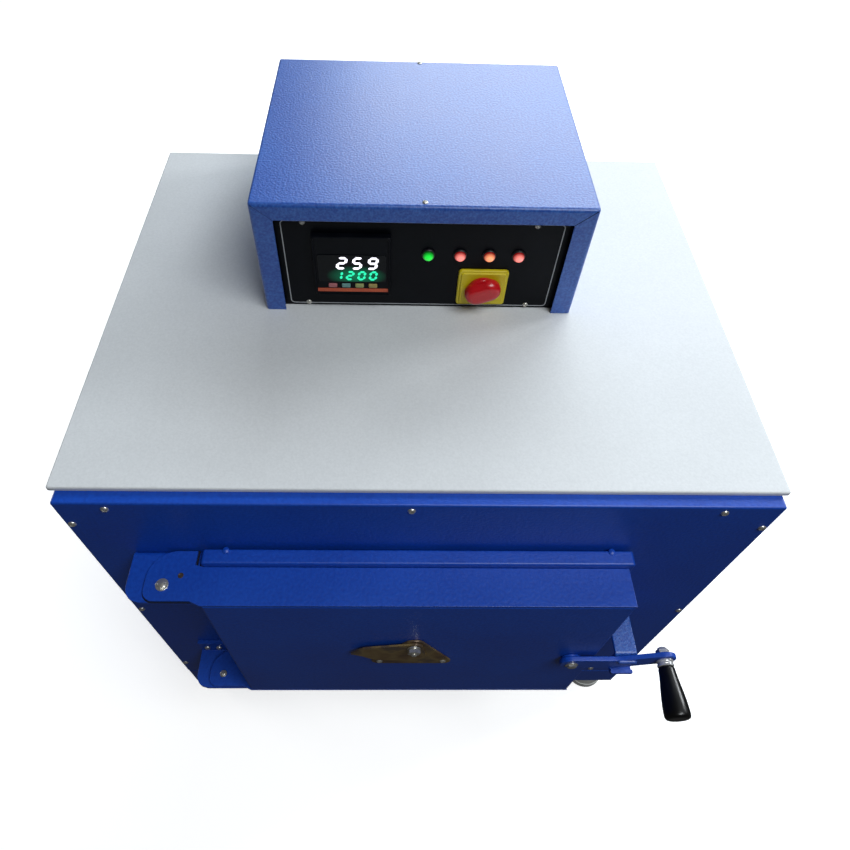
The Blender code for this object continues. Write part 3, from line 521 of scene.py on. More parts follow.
# Thermocouple. A ceramic sheath through the back wall, and a cast aluminium head with a screwed lid.
porcelain = grainy("fired_porcelain", "#E2DAC8", "#F1EBDD", 0.4, 3.0, 0.05)
finish(porcelain, "thermocouple_sheath", "terminal_row")
cast_aluminium = grainy("sand_cast_aluminium", "#9A9DA0", "#B6B9BC", 0.45, 0.9, 0.2, 1.0)
low, high = span("thermocouple_head")
middle = (low + high) / 2
deep = high[1] - low[1]
profile = [(12.5, 0), (13, 0.8), (13, 7.5), (20, 8.5), (23.2, 9.6), (24, 11), (24, 16), (23, 16.6),
           (23, 17.4), (24, 18), (24, deep - 3.2), (23, deep - 1.4), (21, deep - 0.4), (18, deep)]
build("thermocouple_cap", lathe(profile, (middle[0], low[1], middle[2]), (0, 1, 0), 56), cast_aluminium,
      "furnace", "cast_aluminium", "thermocouple_head")

# Terminal cover and gland. A small folded box over the mains terminals, with a black nylon cable gland.
black_plastic = grainy("moulded_black_plastic", "#0D0E10", "#191A1D", 0.45, 0.6, 0.05)
low, high = span("terminal_cover")
centre, half = middle_and_half(low, high, "y")
build("terminal_box", loft(fold(centre, half, 3.5, low[1], high[1], 2.4), "y", steps=8), blue_coat, "furnace",
      "blue_paint", "terminal_cover")
inward = 9
places = [(x, high[1], z) for x in (low[0] + inward, high[0] - inward)
          for z in (low[2] + inward, high[2] - inward)]
screws("terminal_screws", places, (0, 1, 0), 3.2, 1.6)
low, high = span("cable_gland")
middle = (low + high) / 2
profile = [(6.6, 0), (8, 0.5), (9, 2.5), (9, 5), (9.4, 5.5, 6), (9.4, 12, 6), (9.2, 12.6), (9.4, 13, 6),
           (9.4, 19, 6), (8, 19.4), (8, 28)]
build("nylon_gland", lathe(profile, (middle[0], middle[1], low[2]), (0, 0, 1), 48), black_plastic, "furnace",
      "black_plastic", "cable_gland")

# Hinge brackets. Two bent steel straps, bolted to the fascia, each with a level plate under or over
# which the door's ears turn. The front corner of the plate is rounded off.
def bent(points, radius, steps=5):
    """A path of straight runs whose corners are arcs: each corner is the quadratic curve
    (1 - s)^2 a + 2 s (1 - s) corner + s^2 b between the points that lie radius before and after it."""
    points = np.array(points, float)
    path = [points[:1]]
    s = np.linspace(0, 1, steps)[:, None]
    for before, corner, after in zip(points, points[1:], points[2:]):
        a = corner + (before - corner) * radius / np.linalg.norm(before - corner)
        b = corner + (after - corner) * radius / np.linalg.norm(after - corner)
        path.append((1 - s) ** 2 * a + 2 * s * (1 - s) * corner + s ** 2 * b)
    return np.concatenate(path + [points[-1:]])


def strip(path, left, right, thickness, edge=0.6):
    """A strap along a (y, z) path: its section is a rounded rectangle, level along X from left to right
    and square to the path in its thickness. Left and right may change along the path."""
    ahead = np.gradient(path, axis=0)
    ahead /= np.linalg.norm(ahead, axis=1, keepdims=True)
    side = np.stack([-ahead[:, 1], ahead[:, 0]], -1)
    left, right = left * np.ones(len(path)), right * np.ones(len(path))
    corner = rounded((0, 0), (thickness, thickness / 2), edge, 4)
    grow = np.sign(corner[:, 0])
    across = corner[:, 0] - grow * thickness
    x = (left + right)[:, None] / 2 + (right - left)[:, None] / 2 * grow + across
    off = corner[:, 1][None, :, None] * side[:, None, :]
    yz = path[:, None, :] + off
    return closed_grid(np.concatenate([x[..., None], yz], -1))


gauge = 4.0
plate_corner = 15.0
for name in ("upper_hinge_bracket", "lower_hinge_bracket"):
    low, high = span(name)
    up = name.startswith("lower")
    level = low[2] + gauge / 2 if up else high[2] - gauge / 2
    tip = high[2] if up else low[2]
    wall = high[1] - gauge / 2
    front = np.linspace(low[1], low[1] + plate_corner, 9)
    path = np.concatenate([np.stack([front, np.full(9, level)], -1),
                           bent([(low[1] + plate_corner + 5, level), (wall, level), (wall, tip)], 3.0)])
    away = np.clip(plate_corner - (path[:, 0] - low[1]), 0, plate_corner)
    left = low[0] + plate_corner - np.sqrt(plate_corner ** 2 - away ** 2)
    build(name + "_strap", strip(path, left, high[0], gauge), blue_coat, "furnace", "blue_paint", name)

low, high = span("lower_hinge_bracket")
steel_face = high[1] - gauge
button = [(3.6, 0), (3.5, 0.9), (2.9, 1.7), (1.9, 2.2), (1.2, 2.3, 6), (1.2, 1.2, 6)]
upper_top = span("upper_hinge_bracket")[1][2]
bolts = [lathe(button, (low[0] + x, steel_face, z), (0, -1, 0), 30)
         for x in (9.5, 23.5) for z in (low[2] + 15, upper_top - 19)]
build("bracket_bolts", join(*bolts), zinc, "furnace", "zinc_steel")


# Hinge bolts. Each is a plated bolt with a wide washer and a domed hexagon head over the door's ear,
# and a lock nut under the bracket.
for name in ("upper_hinge_bolt", "lower_hinge_bolt"):
    low, high = span(name)
    middle = (low + high) / 2
    reach = high[2] - low[2]
    seat = reach - 5.3
    head = 0.88 if name.startswith("upper") else 0.6
    profile = [(1, 0), (3.6, 0.2), (5.2, 1.0, 6), (5.5, 6.0, 6), (6.3, 6.3), (6.5, 6.5), (4.0, 6.6),
               (4.0, seat - 0.1)]
    crown = [(6.4, 0), (6.4, 0.6), (6.1, 0.8), (4.0, 0.8, 6), (4.0, 2.6, 6), (3.5, 3.1), (2.1, 3.2),
             (2.0, 3.9), (0.4, 4.1)]
    profile += [(head * r, seat + head * h, *sides) for r, h, *sides in crown]
    build(name + "_turned", lathe(profile, (middle[0], middle[1], low[2]), (0, 0, 1), 48), zinc, "furnace",
          "zinc_steel", name)


# Door pan. A shallow tray of steel sheet, its front pierced for the sight hole. Fibre board fills it.
sight = (-3.0, top - 225.0)
sight_radius = 8.0


def ring_at(level, radius=sight_radius):
    """The sight hole's circle, as a rounded rectangle whose corners meet."""
    return (sight, (radius, radius), radius, level)


pan_low, pan_high = span("door_pan")
centre, half = middle_and_half(pan_low, pan_high, "y")
rings = fold(centre, half, 2.0, pan_high[1], pan_low[1], 2.2)
rings += [ring_at(pan_low[1]), ring_at(pan_low[1] + sheet),
          (centre, half - sheet - 1, 1.0, pan_low[1] + sheet),
          (centre, half - sheet, 1.0, pan_low[1] + sheet + 1), (centre, half - sheet, 1.0, pan_high[1])]
build("door_tray", loft(rings, "y", wrap=True), blue_coat, "door", "blue_paint", "door_pan")
rings = [ring_at(pan_low[1] + 2.2), (centre, half - 4, 2.0, pan_low[1] + 2.2),
         (centre, half - 2.2, 3.0, pan_low[1] + 4),
         (centre, half - 2.2, 3.0, pan_high[1] - 2), (centre, half - 4, 2.0, pan_high[1] - 0.2),
         ring_at(pan_high[1] - 0.2)]
build("door_filling", loft(rings, "y", wrap=True), fibre, "door", "fibre_board", "door_insulation")

# Door frame. A deeper folded tray behind the pan, which closes on the fascia all round the mouth.
low, high = span("door_frame")
centre, half = middle_and_half(low, high, "y")
rings = [ring_at(low[1])] + fold(centre, half, 3.0, high[1] - 3, low[1], 2.0)[::-1]
rings += fold(centre, half, 3.0, low[1] + 3, high[1], 1.5)[1:] + [ring_at(high[1])]
build("door_frame_tray", loft(rings, "y", wrap=True), blue_coat, "door", "blue_paint", "door_frame")

rivet = [(3.2, -0.4), (3.2, 0.2), (3.0, 0.9), (2.2, 1.5), (1.1, 1.8), (0.3, 1.9)]
rivets = [lathe(rivet, (x, -202.5, high[2]), (0, 0, 1), 24) for x in (-173, 174)]
build("door_frame_rivets", join(*rivets), blue_coat, "door", "blue_paint")

# Door plug. A block cut from fibre board, tapered to enter the mouth, with its edges rubbed round.
low, high = span("door_plug")
centre = (0, chamber_z)
rings = [ring_at(low[1]), (centre, (94, 94), 3, low[1]), (centre, (96, 96), 4, low[1] + 1),
         (centre, (92, 92), 5, (low[1] + high[1]) / 2), (centre, (88.5, 88.5), 6, high[1] - 3),
         (centre, (87, 87), 7, high[1] - 0.8), (centre, (85, 85), 7, high[1]), ring_at(high[1], 10),
         ring_at(high[1] - 2)]
build("door_plug_board", loft(rings, "y", wrap=True, steps=8), fibre, "door", "fibre_board", "door_plug")


# Door seal. Braided ceramic-fibre tape stuck round the frame, pressed flat against the fascia.
def braid(half, corner, y_low, y_high, width, plait=7.0):
    """A flat tape round a rounded square. Its section is a flat oval whose width and thickness swell and
    shrink as |sin| of the distance along it over plait, half a plait apart on its two edges."""
    t = np.linspace(0, 1, 721)[:-1]
    square = rounded((0, chamber_z), (half, half), corner, 9)
    square = np.concatenate([square, square[:1]])
    run = np.concatenate([[0], np.cumsum(np.linalg.norm(np.diff(square, axis=0), axis=1))])
    x, z = np.interp(t * run[-1], run, square[:, 0]), np.interp(t * run[-1], run, square[:, 1])
    out = np.stack([np.roll(z, -1) - np.roll(z, 1), np.roll(x, 1) - np.roll(x, -1)], -1)
    out /= np.linalg.norm(out, axis=1, keepdims=True)
    turns = round(run[-1] / plait)
    a = np.arange(14) * 2 * np.pi / 14
    wave = np.abs(np.sin(np.pi * turns * t[:, None] + np.where(np.cos(a) > 0, 0, np.pi / 2)[None, :]))
    across = np.cos(a)[None, :] * width / 2 * (0.88 + 0.12 * wave)
    thick = np.sign(np.sin(a)) * np.abs(np.sin(a)) ** 0.6 * (y_high - y_low) / 2 * (0.72 + 0.28 * wave)
    points = np.stack([x[:, None] + across * out[:, :1], (y_low + y_high) / 2 + thick,
                       z[:, None] + across * out[:, 1:]], -1)
    return closed_grid(points, wrap_rows=True)


low, high = span("door_gasket")
seal_cloth = grainy("braided_ceramic_fibre_tape", "#C9C4B6", "#E6E2D6", 0.95, 1.0, 0.4)
build("door_seal_tape", braid(116.0, 10.0, low[1], high[1], 11.6), seal_cloth, "door", "rope_seal",
      "door_gasket")


# Door plates. Laser-cut plates weld to the tray's top and bottom and run on to ears round the hinge
# bolts. A dark line round the upper ear is painted shadow: a thin dark sheet under the ear's edge.
def draw_in(outline, by):
    """Moves an outline inwards: each point goes along the mitre of its two sides' normals."""
    ahead = np.roll(outline, -1, 0) - outline
    ahead /= np.linalg.norm(ahead, axis=1, keepdims=True)
    area = np.sum(outline[:, 0] * np.roll(outline[:, 1], -1) - np.roll(outline[:, 0], -1) * outline[:, 1])
    out = np.stack([ahead[:, 1], -ahead[:, 0]], -1) * math.copysign(1, area)
    before = np.roll(out, 1, 0)
    return outline - by * (out + before) / (1 + np.sum(out * before, axis=1, keepdims=True))


def plate(outline, axis, start, end, edge=0.5, hole=None, steps=3):
    """A flat plate with broken edges: its outline is drawn in by edge * (1 - sin t) where it stands
    edge * (1 - cos t) from a face. A hole is (centre, radius), each of its points on the outline's ray."""
    outline = np.array(outline, float)
    t = np.linspace(0, np.pi / 2, steps)
    rows = [(edge * (1 - math.sin(a)), edge * (1 - math.cos(a))) for a in t]
    levels = [(i, start + d) for i, d in rows] + [(i, end - d) for i, d in rows[::-1]]
    shape = [(draw_in(outline, i), level) for i, level in levels]
    if hole:
        ray = outline - hole[0]
        ring = np.array(hole[0]) + hole[1] * ray / np.linalg.norm(ray, axis=1, keepdims=True)
        shape += [(ring, end), (ring, start)]
    rows = [np.insert(points, "xyz".index(axis), level, axis=1) for points, level in shape]
    return closed_grid(np.array(rows), bool(hole))


def arc(centre, radius, start, end, steps=10):
    """Points on a circle from start to end, in degrees."""
    a = np.radians(np.linspace(start, end, steps + 1))
    return [tuple(p) for p in np.stack([centre[0] + radius * np.cos(a), centre[1] + radius * np.sin(a)], -1)]


def ear_end(left, front, back):
    """The free end of an ear: a wide arc at its back corner, then a small one at its front corner."""
    return arc((left + 25, back - 25), 25, 90, 180) + arc((left + 10, front + 10), 10, 180, 270)


pin_low, pin_high = span("upper_hinge_bolt")
pin = (pin_low + pin_high)[:2] / 2
pin_hole = (pin, 4.4)
for name in ("door_top_plate", "door_bottom_plate"):
    low, high = span(name)
    ear_left, ear_right = low[0], -199.5
    ear_front = face - 47.3
    outline = [(high[0], low[1]), (high[0], pan_high[1]), (-192.0, pan_high[1]), (ear_right, pan_high[1] + 2),
               (ear_right, high[1])]
    outline += ear_end(ear_left, ear_front, high[1]) + [(ear_right, ear_front), (pan_low[0], low[1])]
    build(name + "_cut", plate(outline, "z", low[2], high[2], 0.5, pin_hole), blue_coat, "door", "blue_paint",
          name)
# Painted shadow: a dark sheet 1.1 mm wider than the upper ear, under it, stands in for the shade round its
# edge.
ear_shadow_paint = grainy("painted_ear_shadow", "#050B1E", "#0A1634", 0.5, 1.5, 0.05)
low, high = span("door_top_plate")
outline = np.array([(-199.0, ear_front), (-199.0, high[1])] + ear_end(ear_left, ear_front, high[1])[:-1])
line = plate(draw_in(outline, -1.1), "z", low[2] - 0.3, low[2] + 0.3, 0.1, pin_hole, 2)
build("hinge_ear_painted_shadow", line, ear_shadow_paint, "door", "zinc_steel")
burr = [(2.6, 0), (2.5, 0.25), (1.9, 0.35), (1.5, 0.05), (0.4, 0.02)]
build("grease_hole", lathe(burr, (-210.5, -222.9, high[2]), (0, 0, 1), 24), wire_material, "door",
      "zinc_steel")


# Sight hole. A steel plate with an ear for the pivot, screwed to the door. Heat has turned it from straw
# through brown to purple.
def heat_tint(name):
    """Steel oxide colours in drifting bands, with a brushed grain along X."""
    material, tree, shader = new_material(name, Metallic=0.55)
    place = add(tree, "TexCoord").outputs["Object"]
    drift = add(tree, "TexNoise", {"Vector": place, "Scale": 42.0, "Detail": 2.5})
    bands = add(tree, "ValToRGB", {"Fac": drift.outputs["Fac"]})
    ramp = bands.color_ramp
    for at, code in ((0.32, "#6A5240"), (0.45, "#8C7048"), (0.55, "#A08858"), (0.66, "#74604E"),
                     (0.78, "#6E6860")):
        ramp.elements.new(at).color = linear(code)
    ramp.elements.remove(ramp.elements[0])
    ramp.elements.remove(ramp.elements[-1])
    stretch = add(tree, "Mapping", {"Vector": place, "Scale": (60.0, 900.0, 2400.0)})
    grain = add(tree, "TexNoise", {"Vector": stretch.outputs[0], "Scale": 1.0, "Detail": 3.0})
    relief = add(tree, "Bump", {"Height": grain.outputs["Fac"], "Strength": 0.3, "Distance": 0.08 * MM})
    gloss = add(tree, "MapRange", {"Value": grain.outputs["Fac"], "To Min": 0.3, "To Max": 0.48})
    feed(tree, shader, {"Base Color": bands.outputs["Color"], "Normal": relief.outputs["Normal"],
                        "Roughness": gloss.outputs[0]})
    return material


tinted = heat_tint("heat_tinted_steel")
low, high = span("sight_plate")
flap_low, flap_high = span("sight_flap")
hinge = (sight[0] + 1, top - 193.0)
base = low[2] + 8.0
screw_x = 33
outline = (arc((sight[0] + screw_x, base), 8, -90, 40) + arc((sight[0] + 2, hinge[1] + 2), 10, 40, 140)
           + arc((sight[0] - screw_x, base), 8, 140, 270))
build("sight_plate_cut", plate(outline, "y", low[1], high[1], 0.3, (sight, sight_radius)), tinted, "door",
      "heat_tinted_steel", "sight_plate")
places = [(sight[0] + x, low[1], base) for x in (-screw_x, screw_x)]
screws("sight_plate_screws", places, (0, -1, 0), 3.4, 1.6, "door")

# Sight flap. A thumb-pushed steel flap that hangs over the hole, with a pointed tail to the left.
outline = (arc(hinge, 9, 0, 85) + [(sight[0] - 40, top - 194.8), (sight[0] - 47, top - 196.6),
                                  (sight[0] - 52, top - 201.0), (sight[0] - 57, top - 208.0)]
           + arc((sight[0] - 59.5, top - 214.0), 2.2, 150, 280, 5)
           + [(sight[0] - 50, top - 222.0), (sight[0] - 40.5, top - 232.0), (sight[0] - 27, top - 236.0)]
           + arc(sight, 15, 222, 360, 20))
build("sight_flap_cut", plate(outline, "y", flap_low[1], flap_high[1], 0.3), tinted, "sight_flap",
      "heat_tinted_steel", "sight_flap")

# Sight bolt. The flap turns on a stud with a locked nut and a spring washer.
low, high = span("sight_bolt")
middle = (low + high) / 2
profile = [(1, 0), (3, 0.05), (3, 2.5), (6.5, 2.6), (6.5, 3.6), (6.2, 3.7), (4.8, 3.8), (4.8, 4.5),
           (5.6, 4.6, 6), (5.6, 7.8, 6), (4.6, 8.2), (2.6, 8.2), (2.9, 8.5), (2.6, 8.8), (2.9, 9.2),
           (2.6, 9.6), (2.2, 10.0), (0.4, 10.1)]
build("sight_stud", lathe(profile, (middle[0], high[1], middle[2]), (0, -1, 0), 36), zinc, "door", "zinc_steel",
      "sight_bolt")

# Latch lever. A cranked flat bar, laser-cut from steel and sprayed with the door, that turns on a
# shouldered bolt over a blue spacer. An oval pad near its bend is painted paler than the lever: a painted
# highlight.
lever_low, lever_high = span("lever")
grip_low, grip_high = span("lever_grip")
bolt_low, bolt_high = span("lever_bolt")
turn_at = ((bolt_low + bolt_high) / 2)[[0, 2]]
eye = ((grip_low + grip_high) / 2)[[0, 2]]
bend_x, bar_half = 212.0, 12.0
slope = math.degrees(math.atan2(eye[1] - turn_at[1], eye[0] - bend_x))
outline = (arc(turn_at, bar_half, 90, 270, 18) + arc((bend_x, turn_at[1]), bar_half, 270, 270 + slope, 4)
           + arc(eye, bar_half, slope - 90, slope + 90, 18)
           + arc((bend_x - 8, turn_at[1] + bar_half + 30), 30, -90 + slope, -90, 5))
build("lever_bar", plate(outline, "y", lever_low[1], lever_high[1], 0.9, steps=4), blue_coat,
      "latch_lever", "blue_paint", "lever")
middle = (bolt_low + bolt_high) / 2
reach = bolt_high[1] - bolt_low[1]
spacer = lathe([(5.2, 0.05), (9.6, 0.05), (10, 0.4), (10, 2.0), (9.6, 2.3), (5.2, 2.3)],
               (middle[0], bolt_high[1], middle[2]), (0, -1, 0), 48)
build("lever_spacer", spacer, blue_coat, "door", "blue_paint")
profile = [(2, 0.05), (5, 0.1), (5, reach - 4.9), (6.6, reach - 4.8), (6.6, reach - 4.0), (6.2, reach - 3.8),
           (4.4, reach - 3.8, 6), (4.4, reach - 2.2, 6), (3.8, reach - 1.7), (2.2, reach - 1.5)]
build("lever_bolt_turned", lathe(profile, (middle[0], bolt_high[1], middle[2]), (0, -1, 0), 48), zinc, "door",
      "zinc_steel", "lever_bolt")

# The pad's paler, glossier blue is a painted highlight.
pad_highlight_paint = grainy("pad_painted_highlight_blue", "#2348A6", "#4F73C8", 0.28, 1.5, 0.05)
rings = fold((218.0, turn_at[1] + 11.0), (10.0, 3.0), 2.9, lever_low[1] + 0.3, lever_low[1] - 2.6, 2.2, 7)
build("lever_rest_pad", loft(rings, "y", steps=8), pad_highlight_paint, "latch_lever", "blue_paint")

# Keeper. A strap bent to a hook on the fascia, which the lever drops into. Its arm and the control box
# are sprayed thicker than the rest, so their orange peel is coarser. Their coat's far-apart shades put
# light specks on the lumps' tops: painted glints.
coarse_coat_painted_glints = powder_coat("thick_blue_coat_painted_glints", "#0C449F", "#2C64BA", 0.46, 2.1, 0.95, 0.6, 2.0)
low, high = span("latch_keeper")
tray_z, tray_y = low[2] + gauge / 2, low[1] + gauge / 2
arm_y = lever_high[1] + 0.4 + gauge / 2
path = bent([(high[1] - gauge / 2, high[2] - 30), (high[1] - gauge / 2, high[2] - gauge / 2),
             (arm_y, high[2] - gauge / 2), (arm_y, tray_z + gauge)], 2.4)
build("keeper_strap", strip(path, low[0], high[0] + 4.0, gauge, 1.2), coarse_coat_painted_glints, "furnace", "blue_paint",
      "latch_keeper")
lip_top = turn_at[1] - bar_half - 0.6
path = bent([(arm_y, tray_z + gauge), (arm_y, tray_z), (tray_y, tray_z), (tray_y, lip_top)], 2.4)
build("keeper_hook", strip(path, low[0], high[0] + 4.0, gauge, 1.2), blue_coat, "furnace", "blue_paint")

# Grip. A turned phenolic handle that spins on a chromed stud, between a domed nut and a ferrule.
chrome = plated("bright_chrome_plate", "#F4F5F6", 0.14, 0.4, 0.6)
low, high = span("grip_stud")
middle = (low + high) / 2
seat = high[1] - lever_low[1]
domed_nut = [(0.6, 0), (2.6, 0.4), (4.4, 1.4), (5.6, 3.0), (6.1, 3.4, 6), (6.1, 7.0, 6), (7.4, 7.1),
             (7.8, 7.3), (7.7, 7.7), (4.0, 7.75)]
ferrule_steps = [(4.0, 0.25), (8.2, 0.3), (8.6, 0.8), (8.6, 2.0), (7.7, 2.7), (7.7, 4.0), (8.4, 4.8),
                 (8.4, 6.3), (7.9, 6.7), (4, 6.7)]
profile = domed_nut + [(r, seat + h) for r, h in ferrule_steps] + [(4, high[1] - low[1])]
build("grip_stud_turned", lathe(profile, (middle[0], high[1], middle[2]), (0, -1, 0), 56), chrome,
      "latch_lever", "chrome", "grip_stud")
phenolic = grainy("polished_phenolic", "#060606", "#0B0B0B", 0.3, 6.0, 0.02)
length = grip_high[1] - grip_low[1]
t = np.linspace(0, 1, 22)
swell = np.stack([8.2 + 4.5 * np.sin(np.pi / 2 * t) ** 1.4, 2.6 + (length - 6.2) * t], -1).tolist()
tail = [(12.4, length - 2.2), (11.6, length - 1.0), (10.2, length - 0.2), (8, length)]
profile = [(4.4, 40), (4.4, 0), (7.0, 0), (7.6, 0.5), (8.0, 1.6)] + swell + tail
build("grip_turned", lathe(profile, (eye[0], grip_high[1], eye[1]), (0, -1, 0), 64), phenolic, "lever_grip",
      "grip_plastic", "lever_grip")


# Control box cover. One sheet folded over the electrics, with a flange round its front in which the
# panel sits back. It is open below, on the top cover.
def hood(rings, bottom, steps=6):
    """A shell over a bottom edge: each ring is an upside-down U (half width, top, corner radius, y)
    with its feet on the bottom, and the rings join out along the outside and back along the inside."""
    rows = []
    for half_width, height, radius, y in rings:
        a = np.linspace(0, np.pi / 2, steps)
        x = half_width - radius + radius * np.cos(a)
        z = height - radius + radius * np.sin(a)
        right = np.concatenate([[[half_width, bottom]], np.stack([x, z], -1)])
        left = right[::-1] * [-1, 1]
        rows.append(np.insert(np.concatenate([right, left]), 1, y, axis=1))
    points = np.array(rows)
    count, columns = points.shape[:2]
    faces = grid_faces(count, columns, True, False)
    faces += [[r * columns for r in range(count)], [r * columns + columns - 1 for r in range(count)]]
    return points.reshape(-1, 3), faces


low, high = span("control_cover")
wide, tall, flange, bend, box_sheet = high[0], high[2], 17.0, 3.4, 1.2
side_flange = 19.5
turn = np.linspace(0, np.pi / 2, 5)
into = [(bend * (1 - math.sin(a)), bend * (1 - math.cos(a))) for a in turn]
outside = [(wide - side_flange, tall - flange, 1.0, low[1]), (wide - bend, tall - bend, 1.0, low[1])]
outside += [(wide - rise, tall - rise, 2.0, low[1] + run) for rise, run in into[1:]]
outside += [(wide - run, tall - run, 2.0, high[1] - rise) for rise, run in into]
outside += [(0.4, low[2] + 0.8, 0.2, high[1])]
inside = [(0.4, low[2] + 0.8, 0.2, high[1] - box_sheet), (wide - bend, tall - bend, 1.0, high[1] - box_sheet),
          (wide - box_sheet, tall - box_sheet, 1.2, high[1] - bend),
          (wide - box_sheet, tall - box_sheet, 1.2, low[1] + bend),
          (wide - bend, tall - bend, 1.0, low[1] + box_sheet),
          (wide - side_flange, tall - flange, 1.0, low[1] + box_sheet)]
build("control_hood", hood(outside + inside, low[2]), coarse_coat_painted_glints, "furnace", "blue_paint", "control_cover")
screws("control_hood_screws", [(0, low[1] + 6.6, tall), (0, high[1] - 4.5, tall)], (0, 0, 1), 2.6, 1.3)
finish(zinc, "control_chassis")
finish(black_plastic, "controller_case", "contactor", "switch_contacts")

# Flange mitres. The side and top flanges meet in a cut at each upper corner. Each cut is drawn as a
# thin dark strip on the flange's face: painted shade where a hair-wide gap would lie dark.
mitre_shade_paint = grainy("shadowed_seam", "#04102C", "#081A40", 0.9, 0.8, 0.02)
cuts = []
for side, width in ((-1, 0.16), (1, 0.4)):
    inner = np.array((side * (wide - side_flange), tall - flange))
    outer = np.array((side * (wide - 2.2), tall - 1.6))
    across = np.array((-(outer - inner)[1], (outer - inner)[0])) / np.linalg.norm(outer - inner) * width
    outline = [inner - across, outer - across, outer + across, inner + across]
    cuts.append(plate(outline, "y", low[1] - 0.06, low[1] + 0.2, 0.02, steps=2))
build("control_hood_mitres", join(*cuts), mitre_shade_paint, "furnace", "blue_paint")

# Front panel. A black sprayed plate with a printed border, on four screws.
panel_black = grainy("satin_black_panel", "#020409", "#070A11", 0.4, 0.8, 0.04, Specular_IOR_Level=0.12)
finish(panel_black, "control_panel", "controller_bezel")
front = span("control_panel")[0][1]
ink = grainy("screen_printed_ink", "#9FA3A8", "#C2C5C8", 0.5, 0.9, 0.02)
middle, size, line, proud = (-0.3, top + 54.0), np.array((127.6, 51.0)), 0.9, 0.08
rings = [(middle, size, 4, front), (middle, size, 4, front - proud), (middle, size - line, 3.2, front - proud),
         (middle, size - line, 3.2, front)]
build("panel_border", loft(rings, "y", wrap=True), ink, "furnace", "panel_black")
places = [(-110, front, top + 4.5), (107, front, top + 4.5), (-108, front, top + 103), (102, front, top + 103)]
screws("panel_screws", places, (0, -1, 0), 2.7, 1.4)

# Temperature controller. A moulded black case in a square bezel, with a smoked window over two rows
# of lit digits, and a printed orange line below the window.
low, high = span("controller_bezel")
centre, half = middle_and_half(low, high, "y")
rim = 2.2
rings = [(centre, half, 2.5, low[1]), (centre, half - 0.5, 2.2, low[1] - 1.0),
         (centre, half - rim + 0.4, 1.5, low[1] - 1.0),
         (centre, half - rim, 1.5, low[1])]
build("bezel_rim", loft(rings, "y", wrap=True), panel_black, "furnace", "black_plastic")
pane_centre, pane_half = (centre[0], top + 55.0), (32.0, 16.5)
glass = low[1] - 0.7


def distance_from(tree, heart, squeeze=1.0):
    """Distance across the front from heart, an (x, z) point: sqrt((squeeze * dx) ** 2 + dz ** 2)."""
    place = add(tree, "TexCoord").outputs["Object"]
    flat = add(tree, "Mapping", {"Vector": place, "Location": (-heart[0] * MM * squeeze, 0, -heart[1] * MM),
                                 "Scale": (squeeze, 0, 1)})
    return add(tree, "VectorMath", {0: flat.outputs[0]}, operation="LENGTH").outputs["Value"]


def smoked(name, glow_code, heart, reach):
    """Smoked acrylic over lit figures: their light spills into it and fades with distance from heart."""
    material, tree, shader = new_material(name, Base_Color=linear("#04070B"), Roughness=0.25,
                                          Specular_IOR_Level=0.2, Emission_Color=linear(glow_code))
    share = add(tree, "MapRange", {"Value": distance_from(tree, heart, 0.45), "From Max": reach * MM,
                                   "To Min": 0.5, "To Max": 0.0})
    feed(tree, shader, {"Emission Strength": share.outputs[0]})
    return material


window = smoked("smoked_window", "#0FA070", (-61.0, top + 46.0), 13.0)
rings = fold(pane_centre, pane_half, 2.0, low[1], glass, 0.4)
build("display_pane", loft(rings, "y"), window, "furnace", "black_plastic")


def digits(text, left, base, height, pitch, y, stroke, lean=0.17):
    """Seven-bar figures: each bar is a flat hexagon, its ends pointed, moved sideways by lean * height."""
    bars = {"0": "abcdef", "1": "bc", "2": "abged", "5": "afgcd", "9": "abcdfg"}
    wide, gap_half = height * 0.58, 0.15
    places = {"a": (0, 1, 0), "b": (1, 0.5, 1), "c": (1, 0, 1), "d": (0, 0, 0), "e": (0, 0, 1),
              "f": (0, 0.5, 1), "g": (0, 0.5, 0)}
    shells = []
    for i, figure in enumerate(text):
        for bar in bars[figure]:
            u, v, upright = places[bar]
            end = (height / 2 if upright else wide) - 2 * gap_half
            w = stroke / 2
            outline = np.array([(gap_half, 0), (gap_half + w, w), (end - w, w), (end, 0), (end - w, -w),
                                (gap_half + w, -w)])
            outline = (outline[:, ::-1] if upright else outline) + (u * wide, v * height)
            outline[:, 0] += outline[:, 1] * lean + left + i * pitch
            outline[:, 1] += base
            shells.append(plate(outline, "y", y - 0.12, y, 0.04, steps=2))
    return join(*shells)


def lit(name, colour, strength):
    """A lit face: it gives its own colour, so it reads at any angle."""
    return new_material(name, Base_Color=linear("#101010"), Emission_Color=linear(colour),
                        Emission_Strength=strength, Roughness=0.3)[0]


build("measured_digits", digits("259", -79.2, top + 55.5, 12.4, 14.4, glass, 2.6),
      lit("white_digits", "#F4F2FF", 2.0), "furnace", "black_plastic")
build("set_digits", digits("1200", -81.6, top + 41.8, 9.3, 10.9, glass, 2.4),
      lit("green_digits", "#20D8A0", 1.6), "furnace", "black_plastic")
orange = grainy("printed_orange_line", "#B8482A", "#D06038", 0.5, 0.9, 0.02)
stripe = fold((centre[0], top + 27.2), (34.0, 2.2), 0.6, low[1], low[1] - 0.15, 0.1)
build("orange_line", loft(stripe, "y"), orange, "furnace", "black_plastic")

# Keys. Four soft rubber keys under the display, each moulded through in its own colour.
for name, slot, dark, light in (
        ("key_1", "key_pink", "#9E5A5E", "#B87478"), ("key_2", "key_teal", "#5C8C88", "#76A29C"),
        ("key_3", "key_lime", "#8E9658", "#A6AC70"), ("key_4", "key_amber", "#9C8A4C", "#B4A064")):
    low, high = span(name)
    centre, half = middle_and_half(low, high, "y")
    crown = [(centre, half, 1.2, high[1]), (centre, half, 1.2, low[1] + 0.9),
             (centre, half - 0.25, 1.1, low[1] + 0.4), (centre, half - 0.8, 0.9, low[1] + 0.12),
             (centre, half - 1.7, 0.6, low[1])]
    build(name + "_cap", loft(crown, "y"), grainy(slot + "_rubber", dark, light, 0.55, 0.8, 0.03), name,
          slot, name)


